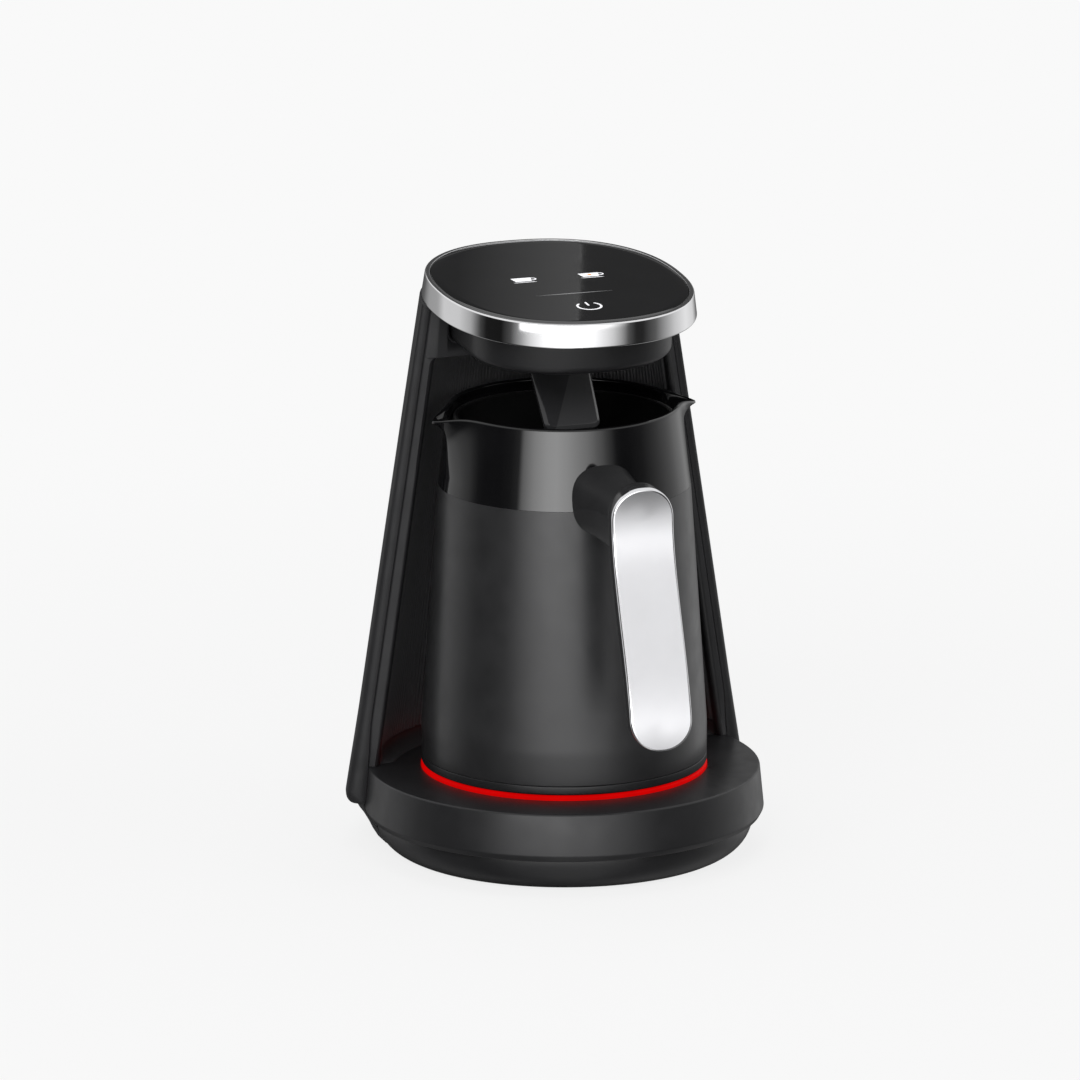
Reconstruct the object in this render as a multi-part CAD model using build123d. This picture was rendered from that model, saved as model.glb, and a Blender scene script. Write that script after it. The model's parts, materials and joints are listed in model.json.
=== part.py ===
"""Electric Turkish coffee maker: a lit base, a conical column, an oval touch head and a lift-off pot.

Millimetres, +Z up. The origin is on the table, under the middle of the overall box. The front, where the
pot's handle points, is -Y, and +X is to the right of someone who stands in front of it. Every sub-part is
drawn about the common axis of base and pot, and moved back by AXIS_Y when it is written.
"""
from build123d import *
import os
from math import atan2, cos, degrees, pi, radians, sin, tan

# ---------------------------------------------------------------- shared clearances and fasteners
RUNNING_GAP = 0.3            # between pieces that only pass each other
SNUG_GAP = 0.15              # between pieces that are located by each other
PIN_GAP = 0.06               # radial running clearance of the flap on its pin
SCREW_R = 1.4                # thread radius of every case screw
SCREW_HEAD_R = 2.6
SCREW_HEAD_H = 1.6

# ---------------------------------------------------------------- pot
POT_LOW_R = 57.2             # the upright foot of the sleeve
POT_TAPER_R = 6.7            # from there in to the collar's foot
COLLAR_TAPER_R = 4.6         # and on to the rim
POT_FOOT_R = POT_LOW_R
POT_FOOT_W = 10.0
POT_FOOT_RING_H = 3.6
COLLAR_LOW_R = POT_LOW_R - POT_TAPER_R
RIM_R = COLLAR_LOW_R - COLLAR_TAPER_R
SEAM = 0.25                  # fine gap where two pot pieces meet
POT_WALL = 2.3
SPOUT_REACH = 11.4
SPOUT_WIDTH = 0.169          # radians
SPOUT_DROP = 3.3
LINER_WALL = 1.0
LINER_GAP = 1.2              # between the vessel and the sleeve
HEATER_THICK = 4.0
HEATER_R = 44.0
ELEMENT_R = 30.0
ELEMENT_TUBE_R = 2.8
ELEMENT_COLD_ARC = 40.0      # degrees left open for the terminals
BOTTOM_PLATE = 2.4
SOCKET_WALL = 4.4
SOCKET_PLAY = 0.6            # round the hub
SOCKET_ROOF = 2.4
SOCKET_LIP = 3.0
SENSOR_R = 5.0
SENSOR_H = 4.0
POT_SCREW_HEAD = (2.2, 1.4)  # radius and height
POT_SCREW_SUNK = 0.6

# ---------------------------------------------------------------- light ring and pot seat
LIGHT_RING_R = POT_LOW_R + 0.1
LIGHT_RING_WIDTH = 2.6
LIGHT_RING_PROUD = 1.7
LAMP_COUNT = 12
LAMP_SIZE = (2.2, 2.2, 0.7)
LIGHT_BOARD = 1.6
LIGHT_BOARD_R = LIGHT_RING_R + 3.7
SEAT_PLATE = 2.4
SEAT_LAND_WIDTH = 10.0
SEAT_STEP = 2.2              # the seat's middle lies this much under its land
SEAT_SCREW_ANGLES = (0, 90, 180, 270)
SEAT_SCREW_R = 1.2

# ---------------------------------------------------------------- base
BASE_BOSS_R = 3.8
BASE_BOSS_RING_R = LIGHT_BOARD_R + 2.4         # board and seat are notched for the bosses
BASE_BOSS_PLAY = 0.5         # round a boss in its notch
BASE_BOSS_ANGLES = (40, 140, 220, 320)
BASE_SCREW_LENGTH = 12.0
BASE_SCREW_SUNK = 1.2        # above the bowl's outer floor
BOWL_FOOT_R = BASE_BOSS_RING_R + BASE_BOSS_R + 0.8
BOWL_BELLY_R = BOWL_FOOT_R + 6.0
BOWL_BELLY_Z = 6.2
BOWL_LIP_R = BOWL_FOOT_R + 7.6
BOWL_LIP_H = 6.0             # how far the lip stands up inside the skirt
BOWL_WALL = 2.4
PAD_R = 6.0                  # rubber pads under the bowl
PAD_RING_R = BOWL_FOOT_R - 12.8
PAD_PROUD = 0.8
PAD_DEPTH = 2.0
SKIRT_BOTTOM_Z = 14.2
SKIRT_H = 19.3
SKIRT_STEP = 3.0             # height of the skirt's inner edge round the lip
SKIRT_R = BOWL_LIP_R + 4.6
SKIRT_FOOT_R = SKIRT_R - 1.3
SKIRT_TOP_R = SKIRT_R - 1.7
SKIRT_WALL = 2.6
BASE_TOP_Z = SKIRT_BOTTOM_Z + SKIRT_H
BASE_PLATE = 2.6

# ---------------------------------------------------------------- all-round connector
HUB_R = 14.0
HUB_PROUD = 7.0              # above the middle of the seat
HUB_FLANGE_R = 20.0
HUB_FLANGE = 3.0
HUB_DEPTH = 7.5              # under the seat's middle
CONTACT_RADII = (5.25, 9.75)  # middle radius of the two ring contacts
CONTACT_WALL = 0.7
CONTACT_SLOT = 1.7
CONTACT_DEPTH = 7.0
CONTACT_LEAF = 1.2
PIN_CONTACT_R = 1.7

# ---------------------------------------------------------------- pot heights
SEAT_TOP_Z = BASE_TOP_Z + LIGHT_RING_PROUD + 0.2
POT_LOW_Z = SEAT_TOP_Z + 16.6        # below this the sleeve is upright
LINER_FLOOR_Z = SEAT_TOP_Z + 18.6    # underside of the vessel
COLLAR_LOW_Z = SEAT_TOP_Z + 114.2
COLLAR_H = 32.3
RIM_Z = COLLAR_LOW_Z + COLLAR_H
SPOUT_START_Z = COLLAR_LOW_Z + 5.4
LINER_TOP_Z = RIM_Z - 4.9
SEAL_H = 4.0

# ---------------------------------------------------------------- handle
PLATE_TOP_Y = -POT_LOW_R - 37.6
PLATE_LOW_Y = PLATE_TOP_Y - 23.8
PLATE_TOP_Z = RIM_Z - 11.9
PLATE_KNEE_Z = PLATE_TOP_Z - 23.0
PLATE_BOTTOM_Z = PLATE_TOP_Z - 101.4
PLATE_BEND_R = 34.0
PLATE_W = 25.4
PLATE_THICK = 2.0
PLATE_CORNER = 11.5
GRIP_THICK = 9.0
GRIP_MARGIN = 0.9            # the grip is this much narrower than the plate on each side
NECK_W = 23.0
NECK_H = 24.0
NECK_Z = PLATE_TOP_Z - 15.5
NECK_ROUND = 9.0
HANDLE_SCREW_Z = (NECK_Z - 8.5, NECK_Z + 6.0)
HANDLE_SCREW_LENGTH = 14.0
HANDLE_SCREW_HEAD = (2.2, 0.7)

# ---------------------------------------------------------------- head (heights are along its tilted normal)
HEAD_CENTRE_Y = 6.1
HEAD_CENTRE_Z = RIM_Z + 48.3
HEAD_TILT = 4.06             # degrees, the back is higher
HEAD_HALF_W = 51.2
HEAD_HALF_L = 59.4
HEAD_POWER = 2.3             # exponent of its oval
BAND_FLARE = 1.3
BAND_HEIGHT = 9.6
BAND_WIDTH = 2.0
GLASS_THICK = 1.6
GLASS_SUNK = 0.2
TRAY_WALL = 2.0
TRAY_FLOOR = 2.0
TOUCH_BOARD = 1.2
TOUCH_BOARD_DROP = 3.0       # under the glass
TOUCH_BOARD_GAP = 1.0        # to the tray's wall
KEY_SPRING_R = 3.4
KEY_SPRING_WALL = 0.8
KEY_PLACES = ((-15.0, -9.0), (15.0, -9.0), (0.0, -36.0))   # two cup keys and the power key, from the head's centre
MASK_W = 60.0
MASK_L = 44.0
MASK_CENTRE_Y = -20.0
BOARD_POSTS = (24.0, 30.0)   # x and y of the four posts under the touch board
BOARD_POST_R = 2.6
BUZZER_R = 5.5
BUZZER_Y = 26.0
COVER_HALF_W = HEAD_HALF_W - 10.0
COVER_FRONT = 33.8           # length of the rounded front
COVER_CENTRE_Y = -6.6
COVER_DROP = 25.2            # bottom of the cover under the top of the band
COVER_WALL = 2.2
COVER_ROUND = 3.5
COVER_BEHIND = 8.0           # how far its sides reach back behind the wall
COVER_POST_R = 3.2
HEAD_SCREW_DEPTH = 7.0       # in the cover's posts
HEAD_SCREW_X = COVER_HALF_W - 8.2
HEAD_SCREW_Y = (-14.0, 13.0)

# ---------------------------------------------------------------- sensor flap
FLAP_PIVOT = (17.5, HEAD_CENTRE_Z - 20.6)   # y, z of the hinge pin
FLAP_TIP = (-11.1, RIM_Z - 8.5)             # y, z of the middle of its lower end
FLAP_WIDTH_TOP = 26.0
FLAP_WIDTH_TIP = 23.0
FLAP_THICK = 3.4
FLAP_HUB_R = 3.2
FLAP_PIN_R = 1.2
FLAP_CORNER = 3.5
FLAP_SWING = 30.0            # degrees, forwards and up
FLAP_SIDE_GAP = 0.6          # to the cover's ears
FLAP_SLOT_PLAY = 1.2         # in front of it at the end of its swing
EAR_WALL = 2.4
EAR_HALF_L = 4.0
EAR_DROP = 5.5               # under the pin
LENS_R = 3.0
LENS_THICK = 1.2
LENS_PLACE = 9.0             # from the flap's lower end

# ---------------------------------------------------------------- column
COLUMN_BOTTOM_Z = SKIRT_BOTTOM_Z + 4.3
COLUMN_TOP_Z = HEAD_CENTRE_Z - 0.2   # before the sloping cut under the head
COLUMN_FRONT_Y = 21.3
COLUMN_WALL = 2.6
COLUMN_SOLE = 2.2            # closes the column from below, round the skirt
COLUMN_LOW = (SKIRT_R + 7.2, SKIRT_R + 7.7, 2.0, 0.0)       # half width, half depth, exponent, centre y
COLUMN_HIGH = (HEAD_HALF_W + 1.7, HEAD_HALF_L + 0.9, HEAD_POWER, HEAD_CENTRE_Y + 0.3)
FLANGE_DEPTH = 6.0
FLANGE_WIDTH_LOW = 7.8
FLANGE_WIDTH_HIGH = 4.2
FLANGE_ROUND = 1.7
GROOVE = 0.7                 # between the flange and the border of the inner wall
PANEL_FRONT_Y = COLUMN_FRONT_Y + 1.3
PANEL_WALL = 2.2
BORDER_WIDTH_LOW = 5.0
BORDER_WIDTH_HIGH = 3.9
RECESS_TOP_Z = HEAD_CENTRE_Z - 30.2
RECESS_LOW = (POT_LOW_R + 17.0, POT_LOW_R + 6.8)   # half axes of the concave wall at the base
RECESS_HIGH = (HEAD_HALF_W + 1.7, HEAD_HALF_L - 6.4)   # and at the top of the recess
SHELF = 2.4
SHELF_FRONT_Y = 44.0
COLUMN_SCREW_RING_R = SKIRT_TOP_R - 6.5
COLUMN_SCREW_ANGLES = (49.0, 67.0, 113.0, 131.0)

# ---------------------------------------------------------------- board in the column
BOARD_W = 52.0
BOARD_H = 64.0
BOARD_THICK = 1.6
BOARD_LOW_Z = BASE_TOP_Z + 12.5
BOARD_STANDOFF = 2.0         # behind the wall at the middle of the board
BOARD_BOSS_R = 2.8
CLAMP_SIZE = (22.0, 7.0, 7.0)
CLAMP_Y = 5.0                # middle of the clamps above the board's lower edge
GLAND_R = 5.5
GLAND_BORE_R = 3.3
GLAND_Z = BASE_TOP_Z + 9.5
GLAND_LENGTH = 10.0
GLAND_FLANGE = 1.6           # thickness and width of its outer flange
LEAD_R = 1.3
LEAD_SPREAD = 5.0            # half the distance between the two leads
LEAD_Y = SKIRT_TOP_R - 7.0   # where they turn up into the column
LEAD_BEND_R = 8.0
LEAD_ROOM = 3.0              # round the leads where they pass a wall
RIBBON_W = 10.0
RIBBON_THICK = 0.8
RIBBON_X = 8.0
RIBBON_ROOM = 1.0
FAR = 200.0                  # beyond every side of the object, for cutting blocks


# ================================================================ shape helpers
def turned(points, radii=None):
    """A body turned about Z from a closed profile of (radius, height) points, with rounded corners."""
    rounds = [0.0] * len(points)
    for index, radius in (radii or {}).items():
        rounds[index] = radius
    outline = FilletPolyline(*points, radius=rounds, close=True)
    return revolve(Plane.XZ * make_face(outline), Axis.Z)


def tube(outer_r, inner_r, low, high):
    """A plain ring about Z."""
    return turned([(inner_r, low), (outer_r, low), (outer_r, high), (inner_r, high)])


def disc(radius, low, high, x=0.0, y=0.0):
    """A plain upright cylinder."""
    return Pos(x, y, low) * Cylinder(radius, high - low, align=(Align.CENTER, Align.CENTER, Align.MIN))


def block(x_low, x_high, y_low, y_high, z_low, z_high):
    """A box from its limits."""
    box = Box(x_high - x_low, y_high - y_low, z_high - z_low)
    return Pos((x_low + x_high) / 2, (y_low + y_high) / 2, (z_low + z_high) / 2) * box


def round_about(radius, angles):
    """Points on a circle about Z at the given angles in degrees."""
    return [(radius * cos(radians(angle)), radius * sin(radians(angle))) for angle in angles]


def group(pieces):
    """Separate solids of one kind, kept in one node."""
    return Compound([solid for piece in pieces for solid in piece.solids()])


def oval_points(half_w, half_l, exponent, count=40):
    """Points of a superellipse: |x/a|^n + |y/b|^n = 1."""
    points = []
    for step in range(count):
        angle = 2 * pi * (step + 0.5) / count
        cosine, sine = cos(angle), sin(angle)
        x = half_w * abs(cosine) ** (2 / exponent) * (1 if cosine > 0 else -1)
        y = half_l * abs(sine) ** (2 / exponent) * (1 if sine > 0 else -1)
        points.append((x, y))
    return points


def oval_face(half_w, half_l, exponent):
    """A flat superellipse about the local origin."""
    return make_face(Spline(*oval_points(half_w, half_l, exponent), periodic=True))


def mixed(low, high, share):
    """A value or a tuple of values part of the way from low to high."""
    if isinstance(low, tuple):
        return tuple(mixed(a, b, share) for a, b in zip(low, high))
    return low + (high - low) * share


# ================================================================ base
BOWL_FLOOR_Z = PAD_PROUD
BOWL_INNER_Z = BOWL_FLOOR_Z + BOWL_WALL
PLATE_UNDER_Z = BASE_TOP_Z - BASE_PLATE
BOSS_MEET_Z = SKIRT_BOTTOM_Z - 4.0      # where the bowl's bosses meet the cover's
BASE_SCREW_TOP_Z = BOWL_FLOOR_Z + BASE_SCREW_SUNK + SCREW_HEAD_H + BASE_SCREW_LENGTH


def bowl_profile(inset, low_z, high_z):
    """Half outline of the bowl's belly, moved in by the wall where needed."""
    belly = ThreePointArc(
        (BOWL_FOOT_R - inset, low_z),
        (BOWL_BELLY_R - inset, BOWL_BELLY_Z + inset / 3),
        (BOWL_LIP_R - inset, high_z),
    )
    outline = [Line((0, low_z), (BOWL_FOOT_R - inset, low_z)), belly,
               Line((BOWL_LIP_R - inset, high_z), (0, high_z)), Line((0, high_z), (0, low_z))]
    return revolve(Plane.XZ * make_face(outline), Axis.Z)


def base_bowl():
    """Lower case: a shallow bowl with screw bosses, pad recesses and an upstanding lip."""
    lip_z = SKIRT_BOTTOM_Z + BOWL_LIP_H
    bowl = bowl_profile(0, BOWL_FLOOR_Z, SKIRT_BOTTOM_Z) - bowl_profile(BOWL_WALL, BOWL_INNER_Z, SKIRT_BOTTOM_Z)
    bowl += tube(BOWL_LIP_R, BOWL_LIP_R - BOWL_WALL + 0.6, SKIRT_BOTTOM_Z - 1.0, lip_z)
    for x, y in round_about(BASE_BOSS_RING_R, BASE_BOSS_ANGLES):
        bowl += disc(BASE_BOSS_R, BOWL_FLOOR_Z, BOSS_MEET_Z, x, y)
        bowl -= disc(SCREW_R + SNUG_GAP, 0, BOSS_MEET_Z + 1, x, y)
        bowl -= disc(SCREW_HEAD_R + SNUG_GAP, 0, BOWL_FLOOR_Z + SCREW_HEAD_H + BASE_SCREW_SUNK, x, y)
    for x, y in round_about(PAD_RING_R, (90, 180, 270, 360)):
        bowl -= disc(PAD_R, 0, PAD_DEPTH, x, y)
    return bowl


def base_cover():
    """Upper case: a round top with a skirt, an opening for the seat, bosses and column screw holes."""
    inner_r = SKIRT_R - SKIRT_WALL
    cover = turned(
        [(LIGHT_RING_R + SNUG_GAP, PLATE_UNDER_Z), (LIGHT_RING_R + SNUG_GAP, BASE_TOP_Z), (SKIRT_TOP_R, BASE_TOP_Z),
         (SKIRT_R, SKIRT_BOTTOM_Z + 2.4), (SKIRT_FOOT_R, SKIRT_BOTTOM_Z), (BOWL_LIP_R + SNUG_GAP, SKIRT_BOTTOM_Z),
         (BOWL_LIP_R + SNUG_GAP, SKIRT_BOTTOM_Z + SKIRT_STEP), (inner_r, SKIRT_BOTTOM_Z + SKIRT_STEP),
         (inner_r - 1.2, PLATE_UNDER_Z)],
        {1: 0.4, 2: 1.2, 3: 1.2},
    )
    for x, y in round_about(BASE_BOSS_RING_R, BASE_BOSS_ANGLES):
        cover += disc(BASE_BOSS_R, BOSS_MEET_Z, PLATE_UNDER_Z, x, y)
        cover -= disc(SCREW_R, BOSS_MEET_Z - 1, BASE_SCREW_TOP_Z, x, y)
    for x, y in column_screw_points():
        cover -= disc(SCREW_R + SNUG_GAP, PLATE_UNDER_Z - 1, BASE_TOP_Z + 1, x, y)
    for x, y in seat_screw_points():
        cover -= disc(SEAT_SCREW_R, PLATE_UNDER_Z - 1, PLATE_UNDER_Z + 1.6, x, y)
    return cover - lead_passage()


def lead_passage():
    """The way for the leads from the base into the column."""
    half_w = LEAD_SPREAD + LEAD_ROOM
    return block(-half_w, half_w, LEAD_Y - LEAD_ROOM, LEAD_Y + LEAD_ROOM, PLATE_UNDER_Z - 5, BASE_TOP_Z + 5)


def column_screw_points():
    """The four screws that hold the column down."""
    return round_about(COLUMN_SCREW_RING_R, COLUMN_SCREW_ANGLES)


def seat_screw_points():
    """The screws that clamp the seat and the light board under the top."""
    return round_about(LIGHT_BOARD_R - 1.9, SEAT_SCREW_ANGLES)


def boss_notches(low_z, high_z):
    """Room for the case bosses at the edge of what lies between them."""
    return [disc(BASE_BOSS_R + BASE_BOSS_PLAY, low_z, high_z, x, y)
            for x, y in round_about(BASE_BOSS_RING_R, BASE_BOSS_ANGLES)]


def foot_pads():
    """Four round rubber pads let into the bowl."""
    return group(disc(PAD_R - SNUG_GAP, 0, PAD_DEPTH, x, y) for x, y in round_about(PAD_RING_R, (90, 180, 270, 360)))


def case_screw(x, y, head_z, length, head_down=True, radius=SCREW_R):
    """One screw: a shank with a flat head, its head under or over the shank."""
    if head_down:
        return disc(SCREW_HEAD_R, head_z, head_z + SCREW_HEAD_H, x, y) + disc(
            radius, head_z + SCREW_HEAD_H, head_z + SCREW_HEAD_H + length, x, y)
    return disc(SCREW_HEAD_R, head_z - SCREW_HEAD_H, head_z, x, y) + disc(
        radius, head_z - SCREW_HEAD_H - length, head_z - SCREW_HEAD_H, x, y)


def base_screws():
    """Case screws that join the bowl to the cover."""
    return group(case_screw(x, y, BOWL_FLOOR_Z + BASE_SCREW_SUNK, BASE_SCREW_LENGTH)
                 for x, y in round_about(BASE_BOSS_RING_R, BASE_BOSS_ANGLES))


# ================================================================ light ring, seat and connector
LIGHT_BOARD_Z = PLATE_UNDER_Z - LIGHT_BOARD          # underside of the light board
LAMP_Z = PLATE_UNDER_Z
LIGHT_RING_LOW_Z = LAMP_Z + LAMP_SIZE[2]
LIGHT_RING_TOP_Z = BASE_TOP_Z + LIGHT_RING_PROUD
SEAT_R = LIGHT_RING_R - LIGHT_RING_WIDTH - SNUG_GAP
SEAT_MIDDLE_Z = SEAT_TOP_Z - SEAT_STEP
SEAT_FLANGE_Z = LIGHT_BOARD_Z - SEAT_PLATE


def light_ring():
    """The red ring that glows round the foot of the pot."""
    return turned(
        [(LIGHT_RING_R - LIGHT_RING_WIDTH, LIGHT_RING_LOW_Z), (LIGHT_RING_R, LIGHT_RING_LOW_Z),
         (LIGHT_RING_R, LIGHT_RING_TOP_Z), (LIGHT_RING_R - LIGHT_RING_WIDTH, LIGHT_RING_TOP_Z)],
        {2: 0.7},
    )


def light_board():
    """Ring-shaped board under the light ring."""
    board = tube(LIGHT_BOARD_R, SEAT_R + SNUG_GAP, LIGHT_BOARD_Z, PLATE_UNDER_Z)
    for x, y in seat_screw_points():
        board -= disc(SEAT_SCREW_R + SNUG_GAP, LIGHT_BOARD_Z - 1, PLATE_UNDER_Z + 1, x, y)
    for notch in boss_notches(LIGHT_BOARD_Z - 1, PLATE_UNDER_Z + 1):
        board -= notch
    return board


def ring_lamps():
    """Small lamps on the light board, evenly spaced under the ring."""
    ring_r = LIGHT_RING_R - LIGHT_RING_WIDTH / 2
    lamps = []
    for step in range(LAMP_COUNT):
        angle = 360 / LAMP_COUNT * (step + 0.5)
        lamps.append(Rot(0, 0, angle) * Pos(ring_r, 0, LAMP_Z + LAMP_SIZE[2] / 2) * Box(*LAMP_SIZE))
    return group(lamps)


def pot_seat():
    """Dish that carries the pot: a flange under the cover, a raised land and a lower middle."""
    seat = turned([
        (HUB_R + SNUG_GAP, SEAT_MIDDLE_Z - SEAT_PLATE), (SEAT_R - SEAT_PLATE, SEAT_MIDDLE_Z - SEAT_PLATE),
        (SEAT_R - SEAT_PLATE, SEAT_FLANGE_Z), (LIGHT_BOARD_R, SEAT_FLANGE_Z), (LIGHT_BOARD_R, LIGHT_BOARD_Z),
        (SEAT_R, LIGHT_BOARD_Z), (SEAT_R, SEAT_TOP_Z), (SEAT_R - SEAT_LAND_WIDTH, SEAT_TOP_Z),
        (SEAT_R - SEAT_LAND_WIDTH - SEAT_STEP, SEAT_MIDDLE_Z), (HUB_R + SNUG_GAP, SEAT_MIDDLE_Z),
    ], {6: 0.4})
    for x, y in seat_screw_points():
        seat -= disc(SEAT_SCREW_R + SNUG_GAP, SEAT_FLANGE_Z - 1, LIGHT_BOARD_Z + 1, x, y)
    for notch in boss_notches(SEAT_FLANGE_Z - 1, LIGHT_BOARD_Z + 1):
        seat -= notch
    return seat


def seat_screws():
    """Screws up through the seat's flange and the light board into the top."""
    length = SEAT_PLATE + LIGHT_BOARD + 1.4
    return group(case_screw(x, y, SEAT_FLANGE_Z - SCREW_HEAD_H, length, radius=SEAT_SCREW_R)
                 for x, y in seat_screw_points())


def connector_base():
    """Lower half of the all-round connector: a hub with ring slots and a flange under the seat."""
    top_z = SEAT_MIDDLE_Z + HUB_PROUD
    flange_z = SEAT_MIDDLE_Z - SEAT_PLATE
    hub = turned([
        (0, flange_z - HUB_DEPTH), (HUB_R, flange_z - HUB_DEPTH), (HUB_R, flange_z - HUB_FLANGE),
        (HUB_FLANGE_R, flange_z - HUB_FLANGE), (HUB_FLANGE_R, flange_z), (HUB_R, flange_z), (HUB_R, top_z), (0, top_z),
    ], {6: 1.0})
    for radius in CONTACT_RADII:
        hub -= tube(radius + CONTACT_SLOT / 2, radius - CONTACT_SLOT / 2, top_z - CONTACT_DEPTH - 2, top_z + 1)
    return hub - disc(PIN_CONTACT_R + 0.4, top_z - CONTACT_DEPTH - 2, top_z + 1)


def base_contacts():
    """Brass leaves at the bottom of the ring slots, with the pin's own at the centre."""
    low_z = SEAT_MIDDLE_Z + HUB_PROUD - CONTACT_DEPTH - 2
    leaves = [disc(PIN_CONTACT_R, low_z, low_z + CONTACT_LEAF)]
    for radius in CONTACT_RADII:
        leaves.append(tube(radius + CONTACT_WALL / 2, radius - CONTACT_WALL / 2, low_z, low_z + CONTACT_LEAF))
    return group(leaves)


# ================================================================ column
def column_section(share, inset=0.0):
    """The column's oval at a share of its height, as a flat face."""
    half_w, half_l, exponent, centre_y = mixed(COLUMN_LOW, COLUMN_HIGH, share)
    height = mixed(COLUMN_BOTTOM_Z, COLUMN_TOP_Z, share)
    return Pos(0, centre_y, height) * oval_face(half_w - inset, half_l - inset, exponent)


def column_body(inset=0.0):
    """The column as a full tapered body before its front is cut away."""
    return loft([column_section(0, inset), column_section(1, inset)], ruled=True)


def column_width_at(y, height):
    """Half width of the column's outside at a distance y behind the axis."""
    share = (height - COLUMN_BOTTOM_Z) / (COLUMN_TOP_Z - COLUMN_BOTTOM_Z)
    half_w, half_l, exponent, centre_y = mixed(COLUMN_LOW, COLUMN_HIGH, share)
    return half_w * (1 - abs((y - centre_y) / half_l) ** exponent) ** (1 / exponent)


def flange_inner(height):
    """Half width at the inner edge of the front flanges."""
    share = (height - COLUMN_BOTTOM_Z) / (COLUMN_TOP_Z - COLUMN_BOTTOM_Z)
    return column_width_at(COLUMN_FRONT_Y, height) - mixed(FLANGE_WIDTH_LOW, FLANGE_WIDTH_HIGH, share)


def border_inner(height):
    """Half width at the inner edge of the inner wall's border."""
    share = (height - COLUMN_BOTTOM_Z) / (COLUMN_TOP_Z - COLUMN_BOTTOM_Z)
    return flange_inner(height) - GROOVE - mixed(BORDER_WIDTH_LOW, BORDER_WIDTH_HIGH, share)


def head_plane(drop=0.0):
    """The head's tilted plane, moved down along its normal."""
    tilt = radians(HEAD_TILT)
    normal = (0, -sin(tilt), cos(tilt))
    origin = (0, HEAD_CENTRE_Y - drop * normal[1], HEAD_CENTRE_Z - drop * normal[2])
    return Plane(origin=origin, x_dir=(1, 0, 0), z_dir=normal)


def head_height(y, drop):
    """Height of the plane that lies drop under the top of the band, at a distance y behind the axis."""
    tilt = radians(HEAD_TILT)
    return HEAD_CENTRE_Z + (y - HEAD_CENTRE_Y) * tan(tilt) - drop / cos(tilt)


def above_head(drop):
    """Everything above the tilted plane that lies drop under the top of the band."""
    cutter = Box(2 * FAR, 2 * FAR, FAR, align=(Align.CENTER, Align.CENTER, Align.MIN))
    return head_plane(drop) * cutter


def front_wedge(inner_edge, low_z, high_z, y_low, y_high):
    """A tapered slab between mirrored slanted sides, whose half width is a function of the height."""
    corners = [(-inner_edge(low_z), low_z), (inner_edge(low_z), low_z),
               (inner_edge(high_z), high_z), (-inner_edge(high_z), high_z)]
    face = Plane.XZ * make_face(Polyline(*corners, close=True))
    return Pos(0, y_high, 0) * extrude(face, amount=y_high - y_low)


def flange_section(height, side):
    """Cross-section of a front flange: round at the front, flush with the shell at the rear."""
    rear_y = COLUMN_FRONT_Y + FLANGE_DEPTH
    inner, outer = flange_inner(height), column_width_at(COLUMN_FRONT_Y, height)
    corners = [(side * inner, COLUMN_FRONT_Y), (side * outer, COLUMN_FRONT_Y),
               (side * column_width_at(rear_y, height), rear_y), (side * inner, rear_y)]
    outline = FilletPolyline(*corners, radius=[FLANGE_ROUND, FLANGE_ROUND, 0, 0], close=True)
    return Pos(0, 0, height) * make_face(outline)


def rear_shell():
    """Outer shell of the column with its two front flanges, a sole round the skirt and a shelf on the base."""
    seam_y = COLUMN_FRONT_Y + FLANGE_DEPTH - 0.4
    shell = (column_body() - column_body(COLUMN_WALL)) & block(-FAR, FAR, seam_y, FAR, 0, COLUMN_TOP_Z)
    for side in (-1, 1):
        shell += loft([flange_section(COLUMN_BOTTOM_Z, side), flange_section(COLUMN_TOP_Z, side)], ruled=True)
    shell += column_shelf()
    shell += column_body() & block(-FAR, FAR, seam_y, FAR, COLUMN_BOTTOM_Z, COLUMN_BOTTOM_Z + COLUMN_SOLE)
    shell -= above_head(BAND_HEIGHT)
    shell -= disc(SKIRT_R + RUNNING_GAP, 0, BASE_TOP_Z + RUNNING_GAP)
    return shell - gland_plane() * Cylinder(GLAND_R, 4 * COLUMN_WALL)


def column_shelf():
    """Crescent inside the shell that rests on the base's top and takes the column screws."""
    low_z = BASE_TOP_Z + RUNNING_GAP
    share = (low_z - COLUMN_BOTTOM_Z) / (COLUMN_TOP_Z - COLUMN_BOTTOM_Z)
    half_w, half_l, exponent, centre_y = mixed(COLUMN_LOW, COLUMN_HIGH, share)
    inset = COLUMN_WALL / 2
    shelf = extrude(Pos(0, centre_y, low_z) * oval_face(half_w - inset, half_l - inset, exponent), amount=SHELF)
    shelf -= disc_oval(RECESS_LOW[0] + PANEL_WALL + RUNNING_GAP, RECESS_LOW[1] + PANEL_WALL + RUNNING_GAP, low_z, SHELF)
    shelf &= block(-FAR, FAR, SHELF_FRONT_Y, FAR, low_z, low_z + SHELF)
    shelf -= lead_passage()
    for x, y in column_screw_points():
        shelf -= disc(SCREW_R, low_z - 1, low_z + SHELF + 1, x, y)
    return shelf


def column_screws():
    """Screws up through the base's top into the shelf of the column."""
    length = BASE_PLATE + RUNNING_GAP + SHELF
    return group(case_screw(x, y, PLATE_UNDER_Z - SCREW_HEAD_H, length) for x, y in column_screw_points())


def disc_oval(half_w, half_l, low, height):
    """A plain upright elliptical slab about the origin."""
    return Pos(0, 0, low) * extrude(Ellipse(half_w, half_l), amount=height)


def recess_body(extra, low_z, high_z):
    """The space inside the concave wall, widened by extra, between two heights."""
    faces = []
    for height in (low_z, high_z):
        share = (height - BASE_TOP_Z) / (RECESS_TOP_Z - BASE_TOP_Z)
        half_w, half_l = mixed(RECESS_LOW, RECESS_HIGH, share)
        faces.append(Pos(0, 0, height) * Ellipse(half_w + extra, half_l + extra))
    return loft(faces, ruled=True)


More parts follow.
